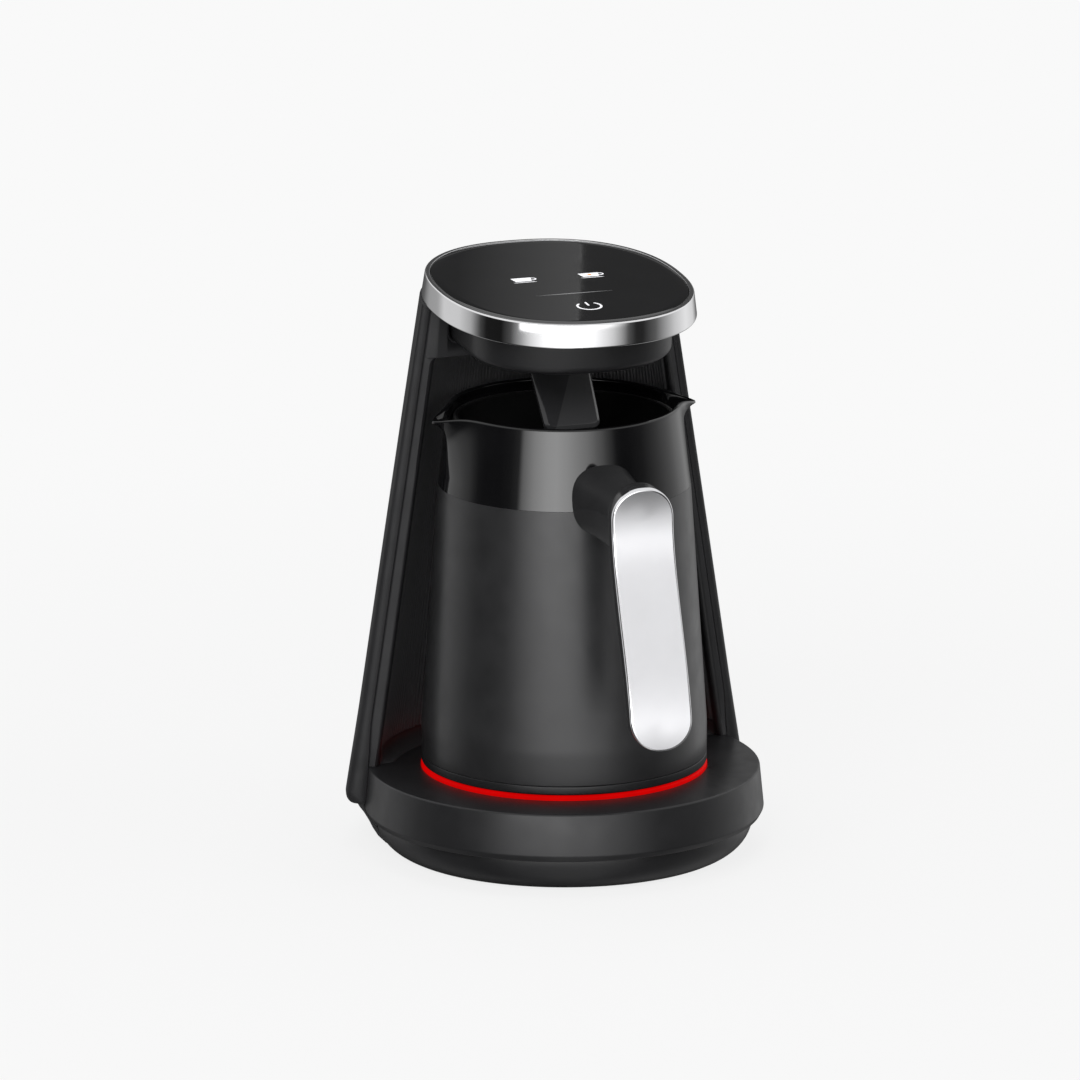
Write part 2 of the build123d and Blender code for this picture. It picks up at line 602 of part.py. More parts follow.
def recess_back(height):
    """How far back the concave wall's rear face lies at the middle."""
    share = (height - BASE_TOP_Z) / (RECESS_TOP_Z - BASE_TOP_Z)
    return mixed(RECESS_LOW[1], RECESS_HIGH[1], share) + PANEL_WALL


def front_panel():
    """Concave inner wall with its border, the ceiling over the pot and the wall beside the head."""
    low_z = BASE_TOP_Z
    wall = recess_body(PANEL_WALL, low_z, RECESS_TOP_Z + PANEL_WALL)
    wall -= recess_body(0, low_z - 1, RECESS_TOP_Z)
    wall &= block(-FAR, FAR, PANEL_FRONT_Y, FAR, low_z, RECESS_TOP_Z + PANEL_WALL)

    def border_outer(height):
        return flange_inner(height) - GROOVE

    top_z = HEAD_CENTRE_Z
    border = front_wedge(border_outer, low_z, top_z, PANEL_FRONT_Y, PANEL_FRONT_Y + PANEL_WALL)
    border -= front_wedge(border_inner, low_z - 1, RECESS_TOP_Z, PANEL_FRONT_Y - 1, PANEL_FRONT_Y + PANEL_WALL + 1)
    border -= cover_body(-RUNNING_GAP, COVER_REAR_Y, COVER_DROP + RUNNING_GAP, 0)
    panel = wall + border
    for x, z in board_screw_points():
        boss = Cylinder(BOARD_BOSS_R, 14, align=(Align.CENTER, Align.CENTER, Align.MAX))
        panel += (board_plane() * Pos(x, z, 0) * boss) - recess_body(PANEL_WALL / 2, low_z - 1, RECESS_TOP_Z)
    for x, z in board_screw_points():
        panel -= board_plane() * Pos(x, z, 0) * Cylinder(SCREW_R, 8, align=(Align.CENTER, Align.CENTER, Align.MAX))
    return panel - above_head(BAND_HEIGHT)


# ================================================================ boards in the column
def board_plane():
    """Face of the power board that looks at the wall: x across, y up the board, z to the rear."""
    low_y, high_y = recess_back(BOARD_LOW_Z), recess_back(BOARD_LOW_Z + BOARD_H)
    lean = atan2(low_y - high_y, BOARD_H)
    return Plane(origin=(0, low_y + BOARD_STANDOFF, BOARD_LOW_Z), x_dir=(-1, 0, 0), z_dir=(0, cos(lean), sin(lean)))


def board_screw_points():
    """Screw places on the board, from the middle of its lower edge."""
    across, margin = BOARD_W / 2 - 4.5, 5.0
    return [(side * across, height) for side in (-1, 1) for height in (margin, BOARD_H - margin)]


def on_board(x, y, width, height, depth):
    """A box that stands on the rear face of the board, centred at x and y."""
    box = Box(width, height, depth, align=(Align.CENTER, Align.CENTER, Align.MIN))
    return board_plane() * Pos(x, y, BOARD_THICK) * box


def power_board():
    """Mains board, upright behind the concave wall."""
    board = board_plane() * Pos(0, BOARD_H / 2, BOARD_THICK / 2) * Box(BOARD_W, BOARD_H, BOARD_THICK)
    for x, y in board_screw_points():
        board -= board_plane() * Pos(x, y, -1) * Cylinder(
            SCREW_R + SNUG_GAP, BOARD_THICK + 2, align=(Align.CENTER, Align.CENTER, Align.MIN))
    return board


def board_screws():
    """Screws of the power board."""
    screws = []
    for x, y in board_screw_points():
        shank = Pos(0, 0, -5) * Cylinder(SCREW_R, 5 + BOARD_THICK, align=(Align.CENTER, Align.CENTER, Align.MIN))
        head = Pos(0, 0, BOARD_THICK) * Cylinder(
            SCREW_HEAD_R, SCREW_HEAD_H, align=(Align.CENTER, Align.CENTER, Align.MIN))
        screws.append(board_plane() * Pos(x, y, 0) * (shank + head))
    return group(screws)


def transformer():
    """Small transformer low on the board: a wound middle between two yokes."""
    core = on_board(-9, 21, 16, 18, 9)
    return core + on_board(-9, 21, 20, 9, 7.5)


def relay():
    """Heater relay in its box."""
    return on_board(11, 19, 12, 16, 8.5)


def capacitors():
    """Two upright capacitors."""
    cans = []
    for x, y in ((-13, 44), (-2, 46)):
        can = Cylinder(3.6, 7.5, align=(Align.CENTER, Align.CENTER, Align.MIN))
        cans.append(board_plane() * Pos(x, y, BOARD_THICK) * can)
    return group(cans)


def terminal_block():
    """Row of lead clamps at the lower edge of the board."""
    return on_board(0, CLAMP_Y, *CLAMP_SIZE)


def gland_plane():
    """Plane on the column's outside at the cord entry, square to the wall."""
    lean = atan2(column_rear(COLUMN_BOTTOM_Z) - column_rear(COLUMN_TOP_Z), COLUMN_TOP_Z - COLUMN_BOTTOM_Z)
    return Plane(origin=(0, column_rear(GLAND_Z), GLAND_Z), x_dir=(1, 0, 0), z_dir=(0, cos(lean), sin(lean)))


def cord_gland():
    """Bush with an outer flange where the mains cord enters the back of the column."""
    low, high = (Align.CENTER, Align.CENTER, Align.MAX), (Align.CENTER, Align.CENTER, Align.MIN)
    bush = Cylinder(GLAND_R - SNUG_GAP, GLAND_LENGTH - GLAND_FLANGE, align=low)
    bush += Cylinder(GLAND_R + GLAND_FLANGE, GLAND_FLANGE, align=high)
    bush -= Cylinder(GLAND_BORE_R, 3 * GLAND_LENGTH)
    return gland_plane() * bush


def column_rear(height):
    """How far back the column's outside lies at the middle."""
    share = (height - COLUMN_BOTTOM_Z) / (COLUMN_TOP_Z - COLUMN_BOTTOM_Z)
    _, half_l, _, centre_y = mixed(COLUMN_LOW, COLUMN_HIGH, share)
    return centre_y + half_l


def routed(points, radii, radius):
    """A round lead along straight runs joined by arcs, with a radius for each corner."""
    path = FilletPolyline(*points, radius=radii)
    section = Plane(origin=path @ 0, z_dir=path % 0) * Circle(radius)
    return sweep(section, path)


def mains_leads():
    """Two leads from the connector back under the top and up to the board's clamps."""
    low_z = SEAT_FLANGE_Z - LEAD_R - RUNNING_GAP
    hub_y = (HUB_R ** 2 - (LEAD_SPREAD - LEAD_R) ** 2) ** 0.5 + SNUG_GAP
    clamp_foot = board_plane() * Pos(0, CLAMP_Y - CLAMP_SIZE[1] / 2, BOARD_THICK)
    high_z = clamp_foot.position.Z - SNUG_GAP
    leads = []
    for side in (-1, 1):
        x = side * LEAD_SPREAD
        leads.append(routed([(x, hub_y, low_z), (x, LEAD_Y, low_z), (x, LEAD_Y, high_z)], [LEAD_BEND_R], LEAD_R))
    return group(leads)


def signal_ribbon():
    """Flat ribbon from the board's top up behind the wall to the head."""
    start_z = BOARD_LOW_Z + BOARD_H - 2
    front_y = ribbon_y() - RIBBON_THICK / 2
    end_z = head_height(front_y, TOUCH_BOARD_TOP + TOUCH_BOARD) - SNUG_GAP
    points = [(recess_back(start_z) + BOARD_STANDOFF - RIBBON_THICK - SNUG_GAP, start_z),
              (front_y, RECESS_TOP_Z), (front_y, end_z)]
    outline = points + [(y + RIBBON_THICK, z) for y, z in reversed(points)]
    face = Plane.YZ * make_face(Polyline(*outline, close=True))
    return Pos(RIBBON_X - RIBBON_W / 2, 0, 0) * extrude(face, amount=RIBBON_W)


def ribbon_y():
    """How far back the middle of the ribbon stands behind the wall."""
    return recess_back(RECESS_TOP_Z) + RIBBON_ROOM


# ================================================================ head
def head_slab(inset, top_drop, bottom_drop):
    """An oval slab of the head between two drops under the top of the band."""
    face = oval_face(HEAD_HALF_W - inset, HEAD_HALF_L - inset, HEAD_POWER)
    return head_plane(bottom_drop) * extrude(face, amount=bottom_drop - top_drop)


def chrome_band():
    """Bright band round the head, a little wider at its lower edge."""
    lower = head_plane(BAND_HEIGHT) * oval_face(HEAD_HALF_W + BAND_FLARE, HEAD_HALF_L + BAND_FLARE, HEAD_POWER)
    upper = head_plane(0) * oval_face(HEAD_HALF_W, HEAD_HALF_L, HEAD_POWER)
    band = loft([lower, upper], ruled=True)
    band -= head_slab(BAND_WIDTH, -1, BAND_HEIGHT + 1)
    return band


def touch_glass():
    """Glossy touch panel let into the band."""
    return head_slab(BAND_WIDTH + SNUG_GAP, GLASS_SUNK, GLASS_SUNK + GLASS_THICK)


GLASS_UNDER = GLASS_SUNK + GLASS_THICK
TRAY_INSET = BAND_WIDTH + SNUG_GAP
TRAY_FLOOR_DROP = BAND_HEIGHT - TRAY_FLOOR       # drop of the tray's inner floor
TOUCH_BOARD_TOP = GLASS_UNDER + TOUCH_BOARD_DROP
COVER_REAR_Y = PANEL_FRONT_Y + PANEL_WALL + COVER_BEHIND


def on_head(x, y, top_drop, bottom_drop, radius):
    """A round piece that stands along the head's normal."""
    post = Cylinder(radius, bottom_drop - top_drop, align=(Align.CENTER, Align.CENTER, Align.MIN))
    return head_plane(bottom_drop) * Pos(x, y, 0) * post


def head_tray():
    """Tray that carries the band, the glass and the touch board, and closes the head from below."""
    tray = head_slab(TRAY_INSET, GLASS_UNDER, BAND_HEIGHT)
    tray -= head_slab(TRAY_INSET + TRAY_WALL, GLASS_UNDER - 1, TRAY_FLOOR_DROP)
    for x, y in board_post_points():
        tray += on_head(x, y, TOUCH_BOARD_TOP + TOUCH_BOARD, TRAY_FLOOR_DROP, BOARD_POST_R)
    for x, y in head_screw_points():
        tray -= on_head(x, y, TRAY_FLOOR_DROP - 1, BAND_HEIGHT + 1, SCREW_R)
    return tray - ribbon_slot()


def ribbon_slot():
    """Slot in the tray's floor for the ribbon."""
    tilt = radians(HEAD_TILT)
    y = (ribbon_y() - HEAD_CENTRE_Y - BAND_HEIGHT * sin(tilt)) / cos(tilt)
    slot = Box(RIBBON_W + 2 * RIBBON_ROOM, RIBBON_THICK + 2 * RIBBON_ROOM, 3 * TRAY_FLOOR)
    return head_plane(BAND_HEIGHT) * Pos(RIBBON_X, y, 0) * slot


def board_post_points():
    """Posts under the touch board."""
    return [(side_x * BOARD_POSTS[0], side_y * BOARD_POSTS[1]) for side_x in (-1, 1) for side_y in (-1, 1)]


def head_screw_points():
    """Screws through the tray's floor into the cover, in the head's own frame."""
    return [(side * HEAD_SCREW_X, y - HEAD_CENTRE_Y) for side in (-1, 1) for y in HEAD_SCREW_Y]


def touch_board():
    """Oval board with the touch keys and the icon lamps."""
    return head_slab(TRAY_INSET + TRAY_WALL + TOUCH_BOARD_GAP, TOUCH_BOARD_TOP, TOUCH_BOARD_TOP + TOUCH_BOARD)


def key_springs():
    """Conductive springs that press on the glass under the three touch fields."""
    springs = []
    for x, y in KEY_PLACES:
        outer = on_head(x, y, GLASS_UNDER, TOUCH_BOARD_TOP, KEY_SPRING_R)
        springs.append(outer - on_head(x, y, GLASS_UNDER - 1, TOUCH_BOARD_TOP + 1, KEY_SPRING_R - KEY_SPRING_WALL))
    return group(springs)


def icon_mask():
    """Pale mask that keeps the light of each icon apart, with a hole for each spring."""
    plate = Box(MASK_W, MASK_L, TOUCH_BOARD_DROP, align=(Align.CENTER, Align.CENTER, Align.MIN))
    mask = head_plane(TOUCH_BOARD_TOP) * Pos(0, MASK_CENTRE_Y, 0) * plate
    mask &= head_slab(TRAY_INSET + TRAY_WALL + TOUCH_BOARD_GAP, GLASS_UNDER, TOUCH_BOARD_TOP)
    for x, y in KEY_PLACES:
        mask -= on_head(x, y, GLASS_UNDER - 1, TOUCH_BOARD_TOP + 1, KEY_SPRING_R + KEY_SPRING_WALL)
    return mask


def buzzer():
    """Small sounder on the tray's floor, under the touch board."""
    return on_head(0, BUZZER_Y, TOUCH_BOARD_TOP + TOUCH_BOARD, TRAY_FLOOR_DROP, BUZZER_R)


def cover_outline(inset, rear_y):
    """Cover seen from above, in the head's frame: a rounded front and straight sides."""
    half_w, half_l = COVER_HALF_W - inset, COVER_FRONT - inset
    centre = COVER_CENTRE_Y - HEAD_CENTRE_Y
    count = 17
    front = []
    for step in range(count):
        angle = pi + pi * step / (count - 1)
        cosine, sine = cos(angle), sin(angle)
        x = half_w * abs(cosine) ** (2 / HEAD_POWER) * (1 if cosine > 0 else -1)
        y = centre - half_l * abs(sine) ** (2 / HEAD_POWER)
        front.append((x, y))
    curve = Spline(*front, tangents=[(0, -1), (0, 1)])
    rear = rear_y - HEAD_CENTRE_Y
    sides = Polyline((half_w, centre), (half_w, rear), (-half_w, rear), (-half_w, centre))
    return make_face([curve, sides])


def cover_body(inset, rear_y, bottom_drop, top_drop):
    """The cover as a full body whose lower edge is rounded in two steps."""
    rounding = COVER_ROUND
    steps = [(0, top_drop), (0, bottom_drop - rounding), (rounding * (1 - cos(pi / 4)),
             bottom_drop - rounding * (1 - cos(pi / 4))), (rounding, bottom_drop)]
    return loft([head_plane(drop) * cover_outline(inset + step, rear_y) for step, drop in steps], ruled=True)


def head_cover():
    """Dark tub under the head, with a slot and two ears for the sensor flap."""
    tub = cover_body(0, COVER_REAR_Y, COVER_DROP, BAND_HEIGHT)
    tub -= cover_body(COVER_WALL, COVER_REAR_Y - COVER_WALL, COVER_DROP - COVER_WALL, BAND_HEIGHT - 1)
    pivot_y, pivot_z = FLAP_PIVOT
    inner = FLAP_WIDTH_TOP / 2 + FLAP_SIDE_GAP
    for side in (-1, 1):
        near, far = sorted((side * inner, side * (inner + EAR_WALL)))
        tub += block(near, far, pivot_y - EAR_HALF_L, pivot_y + EAR_HALF_L, pivot_z - EAR_DROP, pivot_z + EAR_HALF_L)
    tub -= flap_slot()
    tub -= Pos(0, pivot_y, pivot_z) * Rot(0, 90, 0) * Cylinder(FLAP_PIN_R, 2 * (inner + EAR_WALL) + 1)
    for x, y in head_screw_points():
        tub += on_head(x, y, BAND_HEIGHT, COVER_DROP - COVER_WALL / 2, COVER_POST_R)
        tub -= on_head(x, y, BAND_HEIGHT - 1, BAND_HEIGHT + HEAD_SCREW_DEPTH + 1, SCREW_R)
    return tub


def flap_slot():
    """Opening in the cover's floor through which the flap hangs and swings."""
    pivot_y = FLAP_PIVOT[0]
    half_w = FLAP_WIDTH_TOP / 2 + FLAP_SIDE_GAP
    low_z = HEAD_CENTRE_Z - COVER_DROP - 2 * COVER_WALL
    return block(-half_w, half_w, flap_slot_front(), pivot_y + FLAP_HUB_R + 1.0, low_z, FLAP_PIVOT[1] - 1.0)


def flap_slot_front():
    """Front edge of the slot, clear of the flap at the end of its swing."""
    pivot_y, pivot_z = FLAP_PIVOT
    steepest = flap_lean() + radians(FLAP_SWING)
    front_y = pivot_y
    for _ in range(20):                            # the cover's floor slopes, so place and depth are found together
        depth = pivot_z - head_height(front_y, COVER_DROP)
        front_y = pivot_y - depth * tan(steepest) - FLAP_THICK / 2 / cos(steepest) - FLAP_SLOT_PLAY
    return front_y


def head_screws():
    """Screws down through the tray's floor into the cover's posts."""
    screws = []
    for x, y in head_screw_points():
        head = on_head(x, y, TRAY_FLOOR_DROP - SCREW_HEAD_H, TRAY_FLOOR_DROP, SCREW_HEAD_R)
        screws.append(head + on_head(x, y, TRAY_FLOOR_DROP, BAND_HEIGHT + HEAD_SCREW_DEPTH, SCREW_R))
    return group(screws)


# ================================================================ sensor flap
def flap_lean():
    """Angle of the flap from the vertical, in radians."""
    return atan2(FLAP_PIVOT[0] - FLAP_TIP[0], FLAP_PIVOT[1] - FLAP_TIP[1])


def flap_length():
    """From the hinge to the lower end."""
    reach, drop = FLAP_PIVOT[0] - FLAP_TIP[0], FLAP_PIVOT[1] - FLAP_TIP[1]
    return (reach ** 2 + drop ** 2) ** 0.5


def flap_plane():
    """Middle plane of the flap at its hinge: x across, y down the flap, z to its upper side."""
    lean = flap_lean()
    return Plane(origin=(0, *FLAP_PIVOT), x_dir=(1, 0, 0), z_dir=(0, -cos(lean), sin(lean)))


def sensor_flap():
    """Glossy nose that hangs into the pot's mouth from a pin in the cover."""
    top, tip, length = FLAP_WIDTH_TOP / 2, FLAP_WIDTH_TIP / 2, flap_length()
    outline = FilletPolyline((-top, 0), (top, 0), (tip, -length), (-tip, -length),
                             radius=[0, 0, FLAP_CORNER, FLAP_CORNER], close=True)
    blade = flap_plane() * Pos(0, 0, -FLAP_THICK / 2) * extrude(make_face(outline), amount=FLAP_THICK)
    hub = Pos(0, *FLAP_PIVOT) * Rot(0, 90, 0) * Cylinder(FLAP_HUB_R, FLAP_WIDTH_TOP)
    bore = Pos(0, *FLAP_PIVOT) * Rot(0, 90, 0) * Cylinder(FLAP_PIN_R + PIN_GAP, FLAP_WIDTH_TOP + 2)
    return blade + hub - bore - lens_body()


def lens_body():
    """Round lens let into the flap's underside near its lower end."""
    lens = Cylinder(LENS_R, LENS_THICK, align=(Align.CENTER, Align.CENTER, Align.MIN))
    return flap_plane() * Pos(0, LENS_PLACE - flap_length(), -FLAP_THICK / 2) * lens


def flap_pin():
    """Steel pin of the flap, held in the cover's ears."""
    length = FLAP_WIDTH_TOP + 2 * (FLAP_SIDE_GAP + EAR_WALL)
    return Pos(0, *FLAP_PIVOT) * Rot(0, 90, 0) * Cylinder(FLAP_PIN_R, length)


# ================================================================ pot
POT_LOW = SEAT_TOP_Z                               # the foot ring stands on the seat's land
SLEEVE_LOW_Z = POT_LOW + POT_FOOT_RING_H + SEAM
BOTTOM_PLATE_Z = POT_LOW + POT_FOOT_RING_H - BOTTOM_PLATE
LEDGE = 2.0                                        # flange at the sleeve's foot, over the foot ring
SOCKET_R = HUB_R + SOCKET_PLAY + SOCKET_WALL
SOCKET_ROOF_Z = SEAT_MIDDLE_Z + HUB_PROUD + 0.5


def sleeve_radius(height):
    """Outside radius of the matt sleeve at a height."""
    if height <= POT_LOW_Z:
        return POT_LOW_R
    return mixed(POT_LOW_R, COLLAR_LOW_R, (height - POT_LOW_Z) / (COLLAR_LOW_Z - POT_LOW_Z))


def foot_ring():
    """Ring on which the pot stands, with sunk holes for its screws."""
    high_z = POT_LOW + POT_FOOT_RING_H
    ring = turned([(POT_FOOT_R - POT_FOOT_W, POT_LOW), (POT_FOOT_R, POT_LOW), (POT_FOOT_R, high_z),
                   (POT_FOOT_R - POT_FOOT_W, high_z)], {1: 0.8})
    head_r, head_h = POT_SCREW_HEAD
    for x, y in pot_screw_points():
        ring -= disc(head_r + SNUG_GAP, POT_LOW - 1, POT_LOW + POT_SCREW_SUNK + head_h, x, y)
        ring -= disc(SEAT_SCREW_R + SNUG_GAP, POT_LOW - 1, high_z + 1, x, y)
    return ring


def pot_sleeve():
    """Matt outer sleeve of the pot, on the foot ring."""
    top_z = COLLAR_LOW_Z
    sleeve = turned([
        (POT_LOW_R - POT_WALL, SLEEVE_LOW_Z), (POT_LOW_R, SLEEVE_LOW_Z), (POT_LOW_R, POT_LOW_Z), (COLLAR_LOW_R, top_z),
        (COLLAR_LOW_R - POT_WALL, top_z), (POT_LOW_R - POT_WALL, POT_LOW_Z),
    ], {2: 40.0, 5: 40.0})
    ledge = tube(POT_LOW_R - POT_WALL / 2, POT_FOOT_R + 2 - POT_FOOT_W, SLEEVE_LOW_Z, SLEEVE_LOW_Z + LEDGE)
    tongue_r = COLLAR_LOW_R - POT_WALL
    tongue = tube(tongue_r + 0.4, tongue_r - 0.8, top_z - 3, top_z)
    sleeve = sleeve + ledge + tongue
    for x, y in pot_screw_points():
        sleeve -= disc(SEAT_SCREW_R, SLEEVE_LOW_Z - 1, SLEEVE_LOW_Z + LEDGE + 1, x, y)
    return sleeve - neck_drilling()


def pot_screw_points():
    """Screws that hold the foot ring and the bottom plate to the sleeve's ledge."""
    return round_about(POT_FOOT_R - POT_FOOT_W / 2, (45, 135, 225, 315))


def pot_screws():
    """Screws up through the foot ring into the sleeve."""
    head_r, head_h = POT_SCREW_HEAD
    low_z = POT_LOW + POT_SCREW_SUNK
    return group(disc(head_r, low_z, low_z + head_h, x, y) + disc(
        SEAT_SCREW_R, low_z + head_h, SLEEVE_LOW_Z + 1.6, x, y) for x, y in pot_screw_points())


def spout_share(height):
    """How far the pouring lips have opened at a height, from 0 to 1."""
    share = max(0.0, (height - SPOUT_START_Z) / (RIM_Z - SPOUT_START_Z))
    return share ** 1.6


def collar_radius(height):
    """Radius of the collar away from its lips."""
    return mixed(COLLAR_LOW_R, RIM_R, (height - COLLAR_LOW_Z) / (RIM_Z - COLLAR_LOW_Z))


def collar_section(height, inset):
    """Outline of the collar with a lip on each side, at a height."""
    quarter = [0, 3, 6, 9, 12.5, 17, 24, 35, 48, 62, 76, 90]
    angles = quarter + [180 - a for a in reversed(quarter[:-1])]
    angles += [180 + a for a in quarter[1:]] + [360 - a for a in reversed(quarter[1:-1])]
    reach = SPOUT_REACH * spout_share(height)
    points = []
    for angle in angles:
        away = min(abs(angle), abs(angle - 180), abs(angle - 360))
        bulge = reach * 2.718281828 ** (-((radians(away) / SPOUT_WIDTH) ** 1.5))
        radius = collar_radius(height) - inset + bulge
        points.append((radius * cos(radians(angle)), radius * sin(radians(angle))))
    return Pos(0, 0, height) * make_face(Spline(*points, periodic=True))


def collar_body(inset, low_z, high_z):
    """Collar as a full body: sections from the round foot to the lipped mouth."""
    heights = [low_z] + [mixed(COLLAR_LOW_Z, RIM_Z, share) for share in (0.32, 0.54, 0.77)] + [high_z]
    return loft([collar_section(height, inset) for height in heights])


def pot_collar():
    """Glossy collar with two pouring lips."""
    low_z = COLLAR_LOW_Z + SEAM
    collar = collar_body(0, low_z, RIM_Z) - collar_body(POT_WALL, low_z - 0.01, RIM_Z + 0.01)
    slope = atan2(SPOUT_DROP, SPOUT_REACH)
    for turn in (0, 180):
        cutter = Box(40, 60, 20, align=(Align.MIN, Align.CENTER, Align.MIN))
        collar -= Rot(0, 0, turn) * Pos(RIM_R + 1.0, 0, RIM_Z) * Rot(0, degrees(slope), 0) * cutter
    return collar - neck_drilling()


def liner_radius(height):
    """Outside radius of the vessel: it follows the sleeve and the collar from inside."""
    outside = collar_radius(height) if height > COLLAR_LOW_Z else sleeve_radius(height)
    return outside - POT_WALL - LINER_GAP


def pot_liner():
    """Inner vessel in which the coffee boils."""
    low_r, shoulder_r, top_r = liner_radius(POT_LOW_Z + 6), liner_radius(COLLAR_LOW_Z), liner_radius(LINER_TOP_Z)
    wall = LINER_WALL
    return turned([
        (0, LINER_FLOOR_Z), (low_r, LINER_FLOOR_Z), (shoulder_r, COLLAR_LOW_Z), (top_r, LINER_TOP_Z),
        (top_r - wall, LINER_TOP_Z), (shoulder_r - wall, COLLAR_LOW_Z), (low_r - wall, LINER_FLOOR_Z + wall),
        (0, LINER_FLOOR_Z + wall),
    ], {1: 6.0, 6: 5.0})


def liner_seal():
    """Soft ring between the collar and the mouth of the vessel."""
    low_z = LINER_TOP_Z - SEAL_H
    inner_low, inner_top = liner_radius(low_z), liner_radius(LINER_TOP_Z)
    return turned([
        (inner_low + SNUG_GAP, low_z), (inner_low + LINER_GAP - SNUG_GAP, low_z),
        (inner_top + LINER_GAP - SNUG_GAP, LINER_TOP_Z), (inner_top + SNUG_GAP, LINER_TOP_Z)])


def heater_plate():
    """Aluminium plate under the vessel."""
    return disc(HEATER_R, LINER_FLOOR_Z - HEATER_THICK, LINER_FLOOR_Z)


def heating_element():
    """Tubular element clamped under the heater plate, open at its cold ends."""
    centre_z = LINER_FLOOR_Z - HEATER_THICK - ELEMENT_TUBE_R
    face = Plane.XZ * Pos(ELEMENT_R, centre_z) * Circle(ELEMENT_TUBE_R)
    ring = revolve(face, Axis.Z, revolution_arc=360 - ELEMENT_COLD_ARC)
    return Rot(0, 0, 90 + ELEMENT_COLD_ARC / 2) * ring


def temperature_sensor():
    """Sensor capsule under the middle of the heater plate."""
    top_z = LINER_FLOOR_Z - HEATER_THICK
    return disc(SENSOR_R, top_z - SENSOR_H, top_z)


def thermal_fuse():
    """One-shot fuse beside the sensor, flat against the heater plate."""
    top_z = LINER_FLOOR_Z - HEATER_THICK
    return block(10, 20, -2.5, 2.5, top_z - SENSOR_H, top_z)


def bottom_plate():
    """Plate that closes the pot from below and carries the socket."""
    low_z = BOTTOM_PLATE_Z
    outer_r = POT_FOOT_R - POT_FOOT_W - SNUG_GAP
    ring_top_z = POT_LOW + POT_FOOT_RING_H
    plate = tube(outer_r, SOCKET_R + SNUG_GAP, low_z, ring_top_z)
    return plate + tube(outer_r + 1.6, outer_r - 2, ring_top_z, SLEEVE_LOW_Z + LEDGE)


def connector_pot():
    """Upper half of the all-round connector: a socket over the base's hub."""
    low_z, lip_z = BOTTOM_PLATE_Z, BOTTOM_PLATE_Z + BOTTOM_PLATE + SNUG_GAP
    inner_r, top_z = HUB_R + SOCKET_PLAY, SOCKET_ROOF_Z + SOCKET_ROOF
    return turned([
        (inner_r, low_z), (SOCKET_R, low_z), (SOCKET_R, lip_z), (SOCKET_R + SOCKET_LIP, lip_z),
        (SOCKET_R + SOCKET_LIP, top_z), (0, top_z), (0, SOCKET_ROOF_Z), (inner_r, SOCKET_ROOF_Z)])


def pot_contacts():
    """Brass pin and rings that reach down into the hub's slots."""
    low_z = SOCKET_ROOF_Z - CONTACT_DEPTH
    parts = [disc(PIN_CONTACT_R, low_z, SOCKET_ROOF_Z)]
    for radius in CONTACT_RADII:
        parts.append(tube(radius + CONTACT_WALL / 2, radius - CONTACT_WALL / 2, low_z, SOCKET_ROOF_Z))
    return group(parts)


# ================================================================ handle
def plate_profile(front, thick):
    """Side view of a strip that follows the handle, front behind the plate's face, with its thickness."""
    low_slope = (PLATE_TOP_Y - PLATE_LOW_Y) / (PLATE_KNEE_Z - PLATE_BOTTOM_Z)
    across = (1 + low_slope ** 2) ** 0.5
    knee_shift = (across - 1) / low_slope

    def side(offset):
        knee = (PLATE_TOP_Y + offset, PLATE_KNEE_Z - offset * knee_shift)
        low = (PLATE_LOW_Y - 3 * low_slope + offset * across, PLATE_BOTTOM_Z - 3)
        return [(PLATE_TOP_Y + offset, PLATE_TOP_Z + 3), knee, low]

    outer, inner = side(front), side(front + thick)
    return FilletPolyline(*outer, *reversed(inner),
                          radius=[0, PLATE_BEND_R + front, 0, 0, PLATE_BEND_R + front + thick, 0], close=True)


def handle_strip(front, thick, inset):
    """The strip cut to a rounded outline as seen from the front."""
    width = PLATE_W - 2 * inset
    strip = Plane.YZ * make_face(plate_profile(front, thick))
    strip = extrude(strip, amount=width / 2, both=True)
    height = PLATE_TOP_Z - PLATE_BOTTOM_Z - 2 * inset
    outline = RectangleRounded(width, height, PLATE_CORNER - inset)
    window = Plane.XZ * Pos(0, (PLATE_TOP_Z + PLATE_BOTTOM_Z) / 2) * outline
    return strip & extrude(window, amount=150)


def handle_plate():
    """Bright plate on the front of the grip."""
    return handle_strip(0, PLATE_THICK, 0)


def handle_grip():
    """Dark grip with the neck that carries it from the collar and the sleeve."""
    grip = handle_strip(PLATE_THICK, GRIP_THICK, GRIP_MARGIN)
    start_y = -(sleeve_radius(NECK_Z) - POT_WALL / 2)
    end_y = PLATE_TOP_Y + PLATE_THICK + GRIP_THICK / 2
    low = Plane(origin=(0, end_y, NECK_Z), x_dir=(1, 0, 0), z_dir=(0, 1, 0)) * RectangleRounded(
        NECK_W - 2, NECK_H - 3, NECK_ROUND)
    high = Plane(origin=(0, -30, NECK_Z), x_dir=(1, 0, 0), z_dir=(0, 1, 0)) * RectangleRounded(
        NECK_W + 3, NECK_H + 3, NECK_ROUND)
    neck = loft([low, high], ruled=True)
    neck -= pot_outside()
    return grip + neck - neck_bolts(SEAT_SCREW_R)


def handle_screws():
    """Screws from inside the pot's wall into the neck, with flat heads in the gap round the vessel."""
    screws = []
    head_r, head_h = HANDLE_SCREW_HEAD
    for height in HANDLE_SCREW_Z:
        head = Cylinder(head_r, head_h, align=(Align.CENTER, Align.CENTER, Align.MIN))
        neck_end = neck_start(height) * Cylinder(
            SEAT_SCREW_R, HANDLE_SCREW_LENGTH, align=(Align.CENTER, Align.CENTER, Align.MAX))
        screws.append(neck_end + neck_start(height) * head)
    return group(screws)


